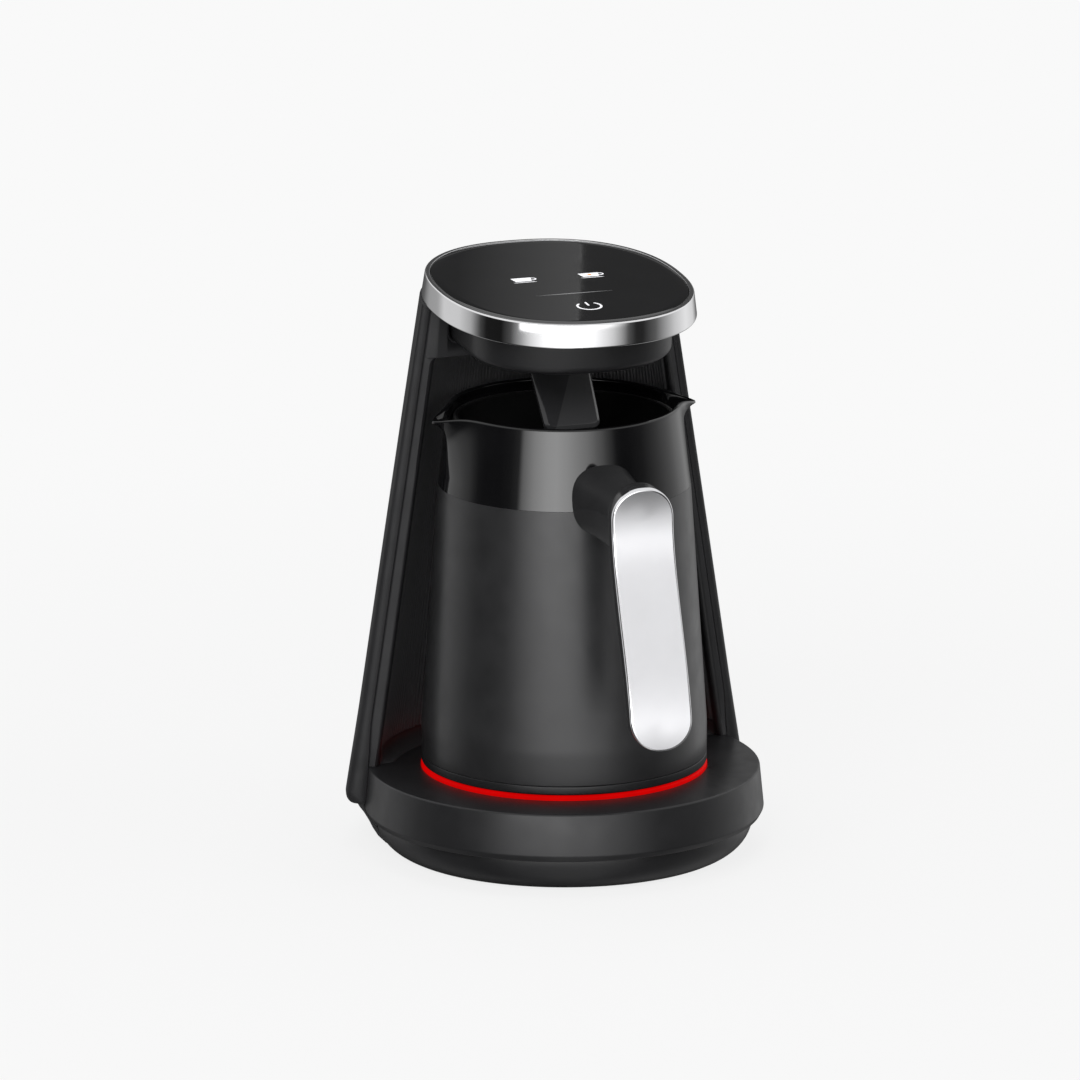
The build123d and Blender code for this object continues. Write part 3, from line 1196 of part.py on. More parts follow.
def neck_start(height):
    """Plane just inside the pot's wall at a handle screw, square to the neck and facing the pot's axis."""
    outside = collar_radius(height) if height > COLLAR_LOW_Z else sleeve_radius(height)
    return Plane(origin=(0, POT_WALL - outside, height), x_dir=(1, 0, 0), z_dir=(0, 1, 0))


def neck_drilling():
    """Holes for the handle screws in the pot's wall, with flat seats for their heads."""
    head_r, head_h = HANDLE_SCREW_HEAD
    seat = Cylinder(head_r + SNUG_GAP, 4 * head_h, align=(Align.CENTER, Align.CENTER, Align.MIN))
    low, high = (neck_start(height) * seat for height in HANDLE_SCREW_Z)
    return neck_bolts(SEAT_SCREW_R + SNUG_GAP) + low + high


def pot_outside():
    """Everything inside the pot's outer face, for seating the neck."""
    return turned([(0, SLEEVE_LOW_Z), (POT_LOW_R, SLEEVE_LOW_Z), (POT_LOW_R, POT_LOW_Z),
                   (COLLAR_LOW_R, COLLAR_LOW_Z), (RIM_R, RIM_Z), (0, RIM_Z)], {2: 40.0})


def neck_bolts(radius):
    """The handle screws' shanks as plain bars of a given radius."""
    bar = Cylinder(radius, HANDLE_SCREW_LENGTH, align=(Align.CENTER, Align.CENTER, Align.MAX))
    low, high = (neck_start(height) * bar for height in HANDLE_SCREW_Z)
    return low + high


# ================================================================ all sub-parts
def build_all():
    """Every sub-part by its node name."""
    return {
        "base_bowl": base_bowl(),
        "base_cover": base_cover(),
        "foot_pads": foot_pads(),
        "base_screws": base_screws(),
        "light_ring": light_ring(),
        "light_board": light_board(),
        "ring_lamps": ring_lamps(),
        "pot_seat": pot_seat(),
        "seat_screws": seat_screws(),
        "connector_base": connector_base(),
        "base_contacts": base_contacts(),
        "mains_leads": mains_leads(),
        "cord_gland": cord_gland(),
        "rear_shell": rear_shell(),
        "front_panel": front_panel(),
        "power_board": power_board(),
        "transformer": transformer(),
        "relay": relay(),
        "capacitors": capacitors(),
        "terminal_block": terminal_block(),
        "board_screws": board_screws(),
        "signal_ribbon": signal_ribbon(),
        "column_screws": column_screws(),
        "head_cover": head_cover(),
        "head_tray": head_tray(),
        "chrome_band": chrome_band(),
        "touch_glass": touch_glass(),
        "touch_board": touch_board(),
        "key_springs": key_springs(),
        "icon_mask": icon_mask(),
        "buzzer": buzzer(),
        "head_screws": head_screws(),
        "flap_pin": flap_pin(),
        "sensor_flap": sensor_flap(),
        "sensor_lens": lens_body(),
        "foot_ring": foot_ring(),
        "pot_sleeve": pot_sleeve(),
        "pot_collar": pot_collar(),
        "pot_liner": pot_liner(),
        "liner_seal": liner_seal(),
        "heater_plate": heater_plate(),
        "heating_element": heating_element(),
        "temperature_sensor": temperature_sensor(),
        "thermal_fuse": thermal_fuse(),
        "bottom_plate": bottom_plate(),
        "connector_pot": connector_pot(),
        "pot_contacts": pot_contacts(),
        "pot_screws": pot_screws(),
        "handle_screws": handle_screws(),
        "handle_grip": handle_grip(),
        "handle_plate": handle_plate(),
    }


AXIS_Y = -(PLATE_LOW_Y + column_rear(COLUMN_BOTTOM_Z)) / 2      # half way from the handle's plate to the column's back

os.makedirs("parts", exist_ok=True)
for node, shape in build_all().items():
    export_step(Pos(0, AXIS_Y, 0) * shape, f"parts/{node}.step")
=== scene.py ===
"""Electric coffee maker: its visible pieces, finishes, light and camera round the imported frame."""

import json
import logging
from dataclasses import dataclass, field
from enum import Enum
from functools import cache
from math import cos, pi, radians, sin, tan

import bmesh
import bpy
import numpy as np
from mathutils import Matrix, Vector

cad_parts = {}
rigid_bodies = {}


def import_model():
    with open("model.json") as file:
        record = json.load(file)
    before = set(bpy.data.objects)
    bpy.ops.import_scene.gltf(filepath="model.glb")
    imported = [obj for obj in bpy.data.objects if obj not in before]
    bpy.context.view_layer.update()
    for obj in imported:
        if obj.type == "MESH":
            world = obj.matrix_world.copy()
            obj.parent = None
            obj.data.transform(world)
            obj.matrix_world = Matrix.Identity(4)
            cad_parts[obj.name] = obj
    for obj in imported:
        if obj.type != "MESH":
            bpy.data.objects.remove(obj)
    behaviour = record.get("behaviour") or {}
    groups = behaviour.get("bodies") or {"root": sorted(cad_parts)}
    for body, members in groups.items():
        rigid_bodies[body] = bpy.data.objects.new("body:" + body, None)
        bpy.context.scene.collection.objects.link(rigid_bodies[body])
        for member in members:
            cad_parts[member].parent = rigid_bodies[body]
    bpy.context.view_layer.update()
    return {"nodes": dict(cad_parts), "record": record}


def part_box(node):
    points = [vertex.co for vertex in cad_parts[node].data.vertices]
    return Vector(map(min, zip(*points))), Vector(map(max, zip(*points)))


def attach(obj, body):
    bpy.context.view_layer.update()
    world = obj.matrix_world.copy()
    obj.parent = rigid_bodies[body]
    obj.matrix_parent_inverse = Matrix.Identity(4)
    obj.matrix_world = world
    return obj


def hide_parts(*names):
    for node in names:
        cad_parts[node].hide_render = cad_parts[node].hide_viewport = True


for stray in list(bpy.data.objects):
    bpy.data.objects.remove(stray, do_unlink=True)
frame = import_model()

LOG = logging.getLogger("coffee_maker")
MM = 0.001
LIGHT_RING_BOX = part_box("light_ring")
AXIS_Y = (LIGHT_RING_BOX[0].y + LIGHT_RING_BOX[1].y) / 2 / MM      # the axis of base and pot, in mm
ROUND_STEPS = 240           # points round a large piece
MERGE_MM = 0.002            # points nearer than this are one
SLIVER_MM = 0.0005          # edges shorter than this are dissolved
NOISE_SPAN = (0.3, 0.7)     # where nearly all of a noise's values lie

Array = np.ndarray
Number = float | Array
Color = tuple[float, ...]
Socket = bpy.types.NodeSocket


# ---------------------------------------------------------------- surfaces
@dataclass
class Surface:
    """Points in mm about the axis, the four-sided faces between them, and named marks on the points."""

    points: Array
    faces: Array
    marks: dict[str, Array] = field(default_factory=dict)


def grid(points: Array, around: bool = False, along: bool = False, keep: Array | None = None,
         marks: dict[str, Array] | None = None) -> Surface:
    """Joins a grid of points into faces.

    Args:
        points: rows by columns by three coordinates.
        around: the last column joins the first.
        along: the last row joins the first.
        keep: one flag per face, false where the surface has a hole.
        marks: named values, one per point.

    Returns:
        The surface, one face between each four neighbours.
    """
    rows, columns = points.shape[:2]
    index = np.arange(rows * columns).reshape(rows, columns)
    if along:
        index = np.vstack([index, index[:1]])
    if around:
        index = np.hstack([index, index[:, :1]])
    faces = np.stack([index[:-1, :-1], index[:-1, 1:], index[1:, 1:], index[1:, :-1]], -1)
    faces = faces[keep] if keep is not None else faces.reshape(-1, 4)
    flat = {name: np.broadcast_to(values, (rows, columns)).ravel() for name, values in (marks or {}).items()}
    return Surface(points.reshape(-1, 3), faces, flat)


def joined(surfaces: list[Surface]) -> Surface:
    """Several surfaces as one, with marks that are missing on a surface set to nought."""
    names = sorted({name for surface in surfaces for name in surface.marks})
    starts = np.cumsum([0] + [len(surface.points) for surface in surfaces[:-1]])
    marks = {name: np.concatenate([surface.marks.get(name, np.zeros(len(surface.points)))
                                   for surface in surfaces]) for name in names}
    return Surface(np.concatenate([surface.points for surface in surfaces]),
                   np.concatenate([surface.faces + start for surface, start in zip(surfaces, starts)]), marks)


def unit(vectors: Array) -> Array:
    """Vectors brought to length one; a vector of no length stays so."""
    return vectors / np.maximum(np.linalg.norm(vectors, axis=-1, keepdims=True), 1e-9)


def turned_left(vectors: Array) -> Array:
    """Vectors of a plane turned a quarter anticlockwise: (-y, x)."""
    return np.stack([-vectors[..., 1], vectors[..., 0]], -1)


def way_along(path: Array) -> Array:
    """Length of a path up to each of its points: the lengths of its straight parts added up."""
    return np.concatenate([[0.0], np.cumsum(np.linalg.norm(np.diff(path, axis=0), axis=-1))])


def rounded(corners: list[tuple[float, float]], radii: list[float], steps: int = 6) -> Array:
    """A closed outline whose corners are arcs.

    An arc of radius r touches both sides of its corner at r / tan(half the corner's angle) from it, and its
    centre lies on the bisector at r / sin(half the angle).

    Args:
        corners: the sharp corners in order.
        radii: one radius per corner.
        steps: points per arc.

    Returns:
        The outline's points, in order.
    """
    point = np.asarray(corners, float)
    radius = np.asarray(radii, float)[:, None]
    back, ahead = unit(np.roll(point, 1, 0) - point), unit(np.roll(point, -1, 0) - point)
    half = 0.5 * np.arccos(np.clip((back * ahead).sum(-1, keepdims=True), -1.0, 1.0))
    centre = point + unit(back + ahead) * radius / np.sin(half)
    start, end = (point + side * radius / np.tan(half) - centre for side in (back, ahead))
    turn_start, turn_end = (np.arctan2(spoke[:, 1], spoke[:, 0])[:, None] for spoke in (start, end))
    sweep = (turn_end - turn_start + pi) % (2 * pi) - pi
    turn = turn_start + sweep * np.linspace(0, 1, steps)
    arc = centre[:, None] + radius[:, None] * np.stack([np.cos(turn), np.sin(turn)], -1)
    return arc.reshape(-1, 2)


def lathe(profile: Array, count: int = ROUND_STEPS) -> Surface:
    """A closed profile turned about the axis: x = r cos a, y = r sin a, z stays."""
    turn = np.linspace(0, 2 * pi, count, endpoint=False)
    ring = np.stack([np.cos(turn), np.sin(turn)], -1)
    level = profile[:, None, :1] * ring[None]
    height = np.broadcast_to(profile[:, None, 1:], level.shape[:2] + (1,))
    return grid(np.concatenate([level, height], -1), around=True, along=True)


def power(value: Array, exponent: Number) -> Array:
    """A power that keeps the sign of its base."""
    return np.sign(value) * np.abs(value) ** exponent


def oval(half_w: Number, half_l: Number, exponent: Number, turn: Array) -> tuple[Array, Array]:
    """An oval between ellipse and rectangle: |x/w|^n + |y/l|^n = 1, walked by its angle."""
    return half_w * power(np.cos(turn), 2 / exponent), half_l * power(np.sin(turn), 2 / exponent)


def mixed(start: Number, end: Number, share: Number) -> Number:
    """The value at a share of the way from start to end."""
    return start + (end - start) * share


def smooth(value: Array, low: float, high: float) -> Array:
    """Nought under low, one over high and an S between: 3 t^2 - 2 t^3."""
    share = np.clip((value - low) / (high - low), 0.0, 1.0)
    return share * share * (3 - 2 * share)


def outline_normals(outline: Array) -> Array:
    """Unit vectors that look into a closed outline walked anticlockwise."""
    ahead = np.roll(outline, -1, 0) - np.roll(outline, 1, 0)
    return unit(turned_left(ahead))


def stroke(path: Array, width: float, thickness: float) -> Array:
    """A flat line of a given width along an open path, with round ends.

    Half its width is w / 2 * sqrt(1 - (1 - t)^2), where t is the way to the nearer end in units of w / 2, at
    most one.

    Args:
        path: points of the line in its plane.
        width: across the line.
        thickness: of the printed layer.

    Returns:
        A grid of points across and along, with the level in the layer as the third coordinate.
    """
    side = turned_left(unit(np.gradient(path, axis=0)))
    length = way_along(path)
    near_end = np.clip(np.minimum(length, length[-1] - length) / (width / 2), 0, 1)
    half = (width / 2 * np.sqrt(np.clip(1 - (1 - near_end) ** 2, 1e-4, 1)))[:, None]
    rows = [(-half, 0.0), (-half, thickness), (half, thickness), (half, 0.0)]
    return np.stack([np.concatenate([path + side * offset, np.full((len(path), 1), level)], -1)
                     for offset, level in rows])


# ---------------------------------------------------------------- materials
class NodeTree:
    """A node tree in the making, with a short way to add and join nodes."""

    def __init__(self, tree: bpy.types.NodeTree) -> None:
        """Empties the tree."""
        self.tree = tree
        self.tree.nodes.clear()

    def add(self, kind: str, settings: dict[str, object] | None = None, **inputs: object) -> bpy.types.Node:
        """Adds a node.

        Args:
            kind: the node's class without its common start.
            settings: properties of the node itself.
            inputs: values or sockets for its inputs, by name with underscores, or by i and a number.

        Returns:
            The node.
        """
        node = self.tree.nodes.new("ShaderNode" + kind)
        for name, value in (settings or {}).items():
            setattr(node, name, value)
        for name, value in inputs.items():
            numbered = name[0] == "i" and name[1:].isdigit()
            socket = node.inputs[int(name[1:]) if numbered else name.replace("_", " ")]
            if isinstance(value, Socket):
                self.tree.links.new(value, socket)
            else:
                socket.default_value = value
        return node

    def value(self, kind: str, settings: dict[str, object] | None = None, **inputs: object) -> Socket:
        """Adds a node as above and hands over its first output."""
        return self.add(kind, settings, **inputs).outputs[0]

    def math(self, operation: str, *values: float | Socket) -> Socket:
        """The result of an operation on its values."""
        inputs = {f"i{at}": value for at, value in enumerate(values)}
        return self.value("Math", {"operation": operation}, **inputs)


class Shade(NodeTree):
    """The node tree of a material, with the patterns that the finishes share."""

    def __init__(self, name: str) -> None:
        """Starts an empty material of the given name."""
        self.material = bpy.data.materials.new(name)
        self.material.use_nodes = True
        super().__init__(self.material.node_tree)
        self.output = self.tree.nodes.new("ShaderNodeOutputMaterial")

    def place(self) -> Socket:
        """The point's own place on the object."""
        return self.add("TexCoord").outputs["Object"]

    def noise(self, size_mm: float, detail: float) -> Socket:
        """Noise whose patches are about size_mm wide."""
        return self.value("TexNoise", Vector=self.place(), Scale=1 / (size_mm * MM), Detail=detail)

    def ranged(self, noise: Socket, middle: float, spread: float) -> Socket:
        """A noise brought to the values from middle - spread to middle + spread."""
        return self.value("MapRange", i0=noise, i1=NOISE_SPAN[0], i2=NOISE_SPAN[1], i3=middle - spread,
                          i4=middle + spread)

    def bump(self, height: Socket, depth_mm: float) -> Socket:
        """A surface normal tilted by a height pattern that is depth_mm deep."""
        return self.value("Bump", Strength=1.0, Distance=depth_mm * MM, Height=height)

    def tinted(self, noise: Socket, dark: Color, light: Color) -> Socket:
        """A colour between dark and light, by a noise."""
        ramp = self.add("ValToRGB", Fac=noise)
        for stop, position, color in zip(ramp.color_ramp.elements, NOISE_SPAN, (dark, light)):
            stop.position, stop.color = position, (*color, 1.0)
        return ramp.outputs[0]

    def finish(self, shader: bpy.types.Node) -> bpy.types.Material:
        """Joins the last shader to the output and hands over the material."""
        self.tree.links.new(shader.outputs[0], self.output.inputs[0])
        return self.material


def scaled(color: Color, share: float) -> Color:
    """A colour made darker or lighter by a share."""
    return tuple(share * channel for channel in color)


@dataclass(frozen=True)
class Plastic:
    """Moulded plastic: a fine grain or a faint swell in the gloss, and a slightly uneven tone."""

    name: str
    color: Color
    roughness: float
    specular: float = 0.5
    spread: float = 0.04
    grain_mm: float = 0.5
    grain_depth_mm: float = 0.006
    # painted light: a lighter colour mixed in where the surface is marked or past the facet's line
    lighter: Color | None = None
    # the painted facet: a plane a, b, c, d in mm, past which the tone is painted lighter
    facet: tuple[float, float, float, float] | None = None
    facet_line_mm: float = 0.3
    tone_mm: float = 14.0
    tone_spread: float = 0.12
    gloss_mm: float = 9.0

    def lifted(self, shade: Shade, tone: Socket) -> Socket:
        """Mixes in painted light: a lighter tone where the surface is marked or on the far side of the
        facet's line.

        The line is where the surface crosses the plane a x + b y + c z = d, in mm.
        """
        if self.facet is None:
            # the recess mark says where the painted light goes
            where = shade.add("Attribute", {"attribute_name": "recess"}).outputs["Fac"]
        else:
            plane = {"operation": "DOT_PRODUCT"}
            across = shade.add("VectorMath", plane, i0=shade.place(), i1=self.facet[:3]).outputs["Value"]
            limit, half = self.facet[3] * MM, self.facet_line_mm / 2 * MM
            where = shade.value("MapRange", i0=across, i1=limit - half, i2=limit + half, i3=0.0, i4=1.0)
        both = shade.add("Mix", {"data_type": "RGBA"}, i0=where, i6=tone, i7=(*self.lighter, 1.0))
        return both.outputs[2]

    def material(self) -> bpy.types.Material:
        """Builds the material."""
        shade = Shade(self.name)
        dark, light = (scaled(self.color, 1 + change) for change in (-self.tone_spread, self.tone_spread))
        tone = shade.tinted(shade.noise(self.tone_mm, 3), dark, light)
        if self.lighter is not None:
            tone = self.lifted(shade, tone)
        rough = shade.ranged(shade.noise(self.gloss_mm, 4), self.roughness, self.spread)
        normal = shade.bump(shade.noise(self.grain_mm, 3), self.grain_depth_mm)
        return shade.finish(shade.add("BsdfPrincipled", Base_Color=tone, Roughness=rough, Normal=normal,
                                      Specular_IOR_Level=self.specular))


@dataclass(frozen=True)
class Metal:
    """Metal, polished or satin, with a fine grain and a smoother rim where it is marked."""

    name: str
    color: Color
    roughness: float
    grain_mm: float
    grain_depth_mm: float
    spread: float = 0.03
    rim_roughness: float | None = None
    tone_mm: float = 11.0
    tone_spread: float = 0.03
    gloss_mm: float = 6.0

    def material(self) -> bpy.types.Material:
        """Builds the material."""
        shade = Shade(self.name)
        dark = scaled(self.color, 1 - self.tone_spread)
        tone = shade.tinted(shade.noise(self.tone_mm, 3), dark, self.color)
        rough = shade.ranged(shade.noise(self.gloss_mm, 4), self.roughness, self.spread)
        if self.rim_roughness is not None:
            rim = shade.add("Attribute", {"attribute_name": "rim"}).outputs["Fac"]
            rough = shade.value("MapRange", i0=rim, i1=0.0, i2=1.0, i3=rough, i4=self.rim_roughness)
        normal = shade.bump(shade.noise(self.grain_mm, 2), self.grain_depth_mm)
        return shade.finish(shade.add("BsdfPrincipled", Base_Color=tone, Roughness=rough, Normal=normal,
                                      Metallic=1.0))


@dataclass(frozen=True)
class Glow:
    """Clear or coloured plastic lit from behind."""

    name: str
    color: Color
    light: Color
    strength: float
    roughness: float = 0.3
    specular: float = 0.5
    swell_mm: float = 8.0
    swell: float = 0.1
    grain_mm: float = 1.2
    grain_depth_mm: float = 0.004

    def material(self) -> bpy.types.Material:
        """Builds the material: the light swells a little from lamp to lamp."""
        shade = Shade(self.name)
        glow = shade.tinted(shade.noise(self.swell_mm, 1), scaled(self.light, 1 - self.swell), self.light)
        normal = shade.bump(shade.noise(self.grain_mm, 2), self.grain_depth_mm)
        return shade.finish(shade.add("BsdfPrincipled", Base_Color=(*self.color, 1.0), Normal=normal,
                                      Roughness=self.roughness, Specular_IOR_Level=self.specular,
                                      Emission_Color=glow, Emission_Strength=self.strength))


@dataclass(frozen=True)
class Board:
    """Circuit board: a green mask over a maze of copper tracks."""

    name: str
    mask: Color
    track: Color
    cell_mm: float = 1 / 0.26
    track_depth_mm: float = 0.03
    roughness: float = 0.35

    def material(self) -> bpy.types.Material:
        """Builds the material: tracks run between the middles of small squared cells."""
        shade = Shade(self.name)
        cells = shade.value("TexVoronoi", {"distance": "MANHATTAN"}, Vector=shade.place(),
                            Scale=1 / (self.cell_mm * MM))
        tone = shade.tinted(cells, self.track, self.mask)
        normal = shade.bump(cells, self.track_depth_mm)
        board = shade.add("BsdfPrincipled", Base_Color=tone, Roughness=self.roughness, Normal=normal)
        return shade.finish(board)


class Finish(Enum):
    """The finishes of this machine, by the record's material slots and a few finer ones."""

    matt_shell = Plastic("matt_black_shell", (0.014, 0.014, 0.015), 0.5, 0.28)
    # the ribbed recess is painted lighter: painted fill light against the shade it sits in
    matt_panel = Plastic("matt_black_wall", (0.013, 0.013, 0.014), 0.46, 0.28, lighter=(0.085, 0.085, 0.088))
    matt_base = Plastic("satin_black_base", (0.013, 0.013, 0.014), 0.36, 0.4, grain_depth_mm=0.004)
    satin_sleeve = Plastic("satin_black_sleeve", (0.018, 0.018, 0.019), 0.33, 0.52, grain_depth_mm=0.003)
    gloss_plastic_black = Plastic("polished_black", (0.005, 0.005, 0.0055), 0.06, 0.5, 0.02, 7.0, 0.003)
    soft_grip = Plastic("soft_black_grip", (0.022, 0.022, 0.023), 0.17, 0.5, 0.02, 6.0, 0.003)
    # painted light: the nose is lighter past a diagonal line across its flat face, as if a facet caught the
    # light
    smoky_nose = Plastic("smoky_black", (0.034, 0.034, 0.036), 0.12, 0.5, 0.02, 7.0, 0.002,
                         lighter=(0.058, 0.058, 0.06), facet=(0.866, 0.0, -0.5, -93.9))
    touch_surface = Plastic("polished_panel", (0.006, 0.006, 0.0065), 0.05, 0.5, 0.015, 9.0, 0.0012)
    bright_band = Metal("polished_chrome", (0.86, 0.86, 0.87), 0.07, 5.0, 0.001, 0.02)
    bright_plate = Metal("satin_plate", (0.83, 0.83, 0.85), 0.3, 0.25, 0.0006, 0.012, rim_roughness=0.07)
    red_light_guide = Glow("red_light_guide", (0.1, 0.0, 0.0), (1.0, 0.0, 0.0), 0.56, 0.6, 0.06)
    soft_rubber = Plastic("soft_rubber", (0.02, 0.02, 0.02), 0.75, 0.3, 0.05, 0.8, 0.02)
    vessel_coating = Plastic("non_stick_coating", (0.009, 0.009, 0.009), 0.4, 0.18, 0.05, 0.35, 0.006)
    cast_aluminium = Metal("cast_aluminium", (0.62, 0.63, 0.65), 0.42, 1.5, 0.01)
    element_tube = Metal("stained_steel_tube", (0.33, 0.3, 0.28), 0.4, 1.2, 0.006)
    screw_steel = Metal("zinc_plated_steel", (0.6, 0.61, 0.63), 0.3, 0.5, 0.003)
    contact_brass = Metal("contact_brass", (0.75, 0.56, 0.24), 0.22, 0.6, 0.002)
    inner_plastic = Plastic("plain_dark_plastic", (0.03, 0.03, 0.033), 0.5, 0.4)
    pale_plastic = Plastic("plain_white_plastic", (0.7, 0.7, 0.67), 0.42, 0.4)
    circuit_board = Board("circuit_board", (0.015, 0.12, 0.05), (0.04, 0.2, 0.08))
    lamp_lens = Glow("small_lamps", (0.8, 0.3, 0.25), (1.0, 0.05, 0.03), 1.5)
    lead_sleeve = Plastic("lead_insulation", (0.3, 0.09, 0.03), 0.45, 0.4)
    ribbon_grey = Plastic("grey_flat_cable", (0.35, 0.35, 0.36), 0.5, 0.4)
    winding_tape = Plastic("winding_tape", (0.6, 0.45, 0.08), 0.3, 0.5)
    capacitor_can = Plastic("capacitor_sleeve", (0.02, 0.03, 0.1), 0.25, 0.5)
    sensor_window = Plastic("dark_red_window", (0.06, 0.004, 0.004), 0.05, 0.5, 0.02, 6.0, 0.001)
    printed_white = Glow("printed_white", (0.85, 0.85, 0.87), (0.95, 0.95, 1.0), 0.35, 0.4)
    printed_grey = Plastic("printed_grey", (0.26, 0.26, 0.265), 0.4, 0.3, 0.04, 2.0, 0.001)
    printed_amber = Glow("printed_amber", (0.9, 0.25, 0.05), (1.0, 0.25, 0.04), 0.5, 0.4)


@cache
def dressed(finish: Finish) -> bpy.types.Material:
    """The finish's material, built once."""
    return finish.value.material()


def in_scene(name: str, data: bpy.types.ID) -> bpy.types.Object:
    """A new object of the given data, linked to the scene."""
    thing = bpy.data.objects.new(name, data)
    bpy.context.scene.collection.objects.link(thing)
    return thing


class Body(Enum):
    """The bodies that the pieces ride on."""

    MACHINE = "machine"
    FLAP = "flap"
    POT = "pot"


@dataclass(frozen=True)
class Piece:
    """How a new piece is finished and what it stands for."""

    name: str
    finish: Finish
    body: Body
    slot: str
    replaces: tuple[str, ...] = ()
    crease: float = 35.0
    sheet_wall: float = 0.0

    def make(self, surface: Surface) -> bpy.types.Object:
        """Puts a surface into the scene.

        Doubles are merged and the faces are turned outwards: a closed shape whose signed volume is negative
        is turned round, and an open sheet is turned to look towards the front and gets its wall behind it.

        Args:
            surface: points in mm about the axis, and faces.

        Returns:
            The finished object, at the origin.
        """
        mesh = bpy.data.meshes.new(self.name)
        points = (surface.points + (0.0, AXIS_Y, 0.0)) * MM
        mesh.from_pydata(points.tolist(), [], surface.faces.tolist())
        for name, values in surface.marks.items():
            mesh.attributes.new(name, "FLOAT", "POINT").data.foreach_set("value", values.astype(np.float32))
        work = bmesh.new()
        work.from_mesh(mesh)
        bmesh.ops.remove_doubles(work, verts=work.verts, dist=MERGE_MM * MM)
        bmesh.ops.dissolve_degenerate(work, edges=work.edges, dist=SLIVER_MM * MM)
        bmesh.ops.recalc_face_normals(work, faces=work.faces)
        if self.sheet_wall:
            turned = sum(face.normal.y * face.calc_area() for face in work.faces) > 0
        else:
            turned = work.calc_volume(signed=True) < 0
        if turned:
            bmesh.ops.reverse_faces(work, faces=work.faces)
        work.to_mesh(mesh)
        work.free()
        mesh.validate()
        mesh.polygons.foreach_set("use_smooth", np.ones(len(mesh.polygons), bool))
        mesh.set_sharp_from_angle(angle=radians(self.crease))
        mesh.materials.append(dressed(self.finish))
        piece = in_scene(self.name, mesh)
        if self.sheet_wall:
            wall = piece.modifiers.new("wall", "SOLIDIFY")
            wall.thickness, wall.offset = self.sheet_wall * MM, -1.0
        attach(piece, self.body.value)
        if self.replaces:
            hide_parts(*self.replaces)
        LOG.info("%s: %d points, %d faces", self.name, len(mesh.vertices), len(mesh.polygons))
        return piece


# ---------------------------------------------------------------- base
@dataclass
class Base:
    """Round base: skirted cover and red light ring; the bowl under them keeps its own mesh."""

    top_z: float = 33.5
    skirt_low_z: float = 14.2
    skirt_foot_r: float = 78.9
    skirt_r: float = 80.2
    skirt_top_r: float = 78.5
    skirt_wide_z: float = 16.6
    wall_low: float = 2.8
    wall_top: float = 3.2
    lip_top_z: float = 17.2
    opening_r: float = 57.45
    plate: float = 2.6
    lip_r: float = 75.8
    ring_r: float = 57.3
    ring_width: float = 2.55
    ring_low_z: float = 31.7
    ring_top_z: float = 35.2

    def skirt_outside(self, height: Array) -> Array:
        """Radius of the skirt at a height, straight from its widest place up to its top edge."""
        share = (height - self.skirt_wide_z) / (self.top_z - self.skirt_wide_z)
        return mixed(self.skirt_r, self.skirt_top_r, np.clip(share, 0, 1))

    def cover(self) -> Surface:
        """The skirted top: a flat plate round the ring and a leaning wall with a turned-in lower lip."""
        under = self.top_z - self.plate
        corners = [(self.opening_r, self.top_z), (self.skirt_top_r, self.top_z),
                   (self.skirt_r, self.skirt_wide_z), (self.skirt_foot_r, self.skirt_low_z),
                   (self.lip_r, self.skirt_low_z), (self.lip_r, self.lip_top_z),
                   (self.skirt_r - self.wall_low, self.lip_top_z), (self.skirt_top_r - self.wall_top, under),
                   (self.opening_r, under)]
        return lathe(rounded(corners, [0.35, 0.9, 1.6, 0.9, 0.2, 0.2, 0.2, 1.0, 0.2], 8))

    def light_ring(self) -> Surface:
        """The light ring: a rounded band round the pot's foot."""
        outer, inner = self.ring_r, self.ring_r - self.ring_width
        low, top = self.ring_low_z, self.ring_top_z
        return lathe(rounded([(outer, low), (outer, top), (inner, top), (inner, low)], [0.2, 1.1, 1.1, 0.2]))

    def build(self) -> None:
        """Makes the pieces of the base."""
        machine = Body.MACHINE
        Piece("base_top_cover", Finish.matt_base, machine, "matt_shell", ("base_cover",)).make(self.cover())
        ring = Piece("glowing_ring", Finish.red_light_guide, machine, "red_light_guide", ("light_ring",))
        ring.make(self.light_ring())


# ---------------------------------------------------------------- head
@dataclass(frozen=True)
class CupSign:
    """The small cup on the panel, in mm from its middle: bowl, ring for a handle and saucer line."""

    bowl: tuple[float, float] = (-0.9, -1.5)
    foot_half: float = 3.15
    brim_half: float = 4.2
    tall: float = 4.6
    ear: tuple[float, float] = (3.1, 1.1)
    ear_half: tuple[float, float] = (1.75, 1.35)
    ear_swing: float = 1.9
    ear_line: float = 0.62
    saucer_x: tuple[float, float] = (-5.6, 4.2)
    saucer_y: float = -2.7
    saucer_line: float = 0.5


@dataclass(frozen=True)
class PowerSign:
    """The power sign on the panel: a ring with a gap at its top and a short upright bar."""

    ring_r: float = 4.75
    ring_from: float = 128.0
    ring_to: float = 412.0
    bar: tuple[float, float] = (0.4, 5.4)
    line: float = 0.85


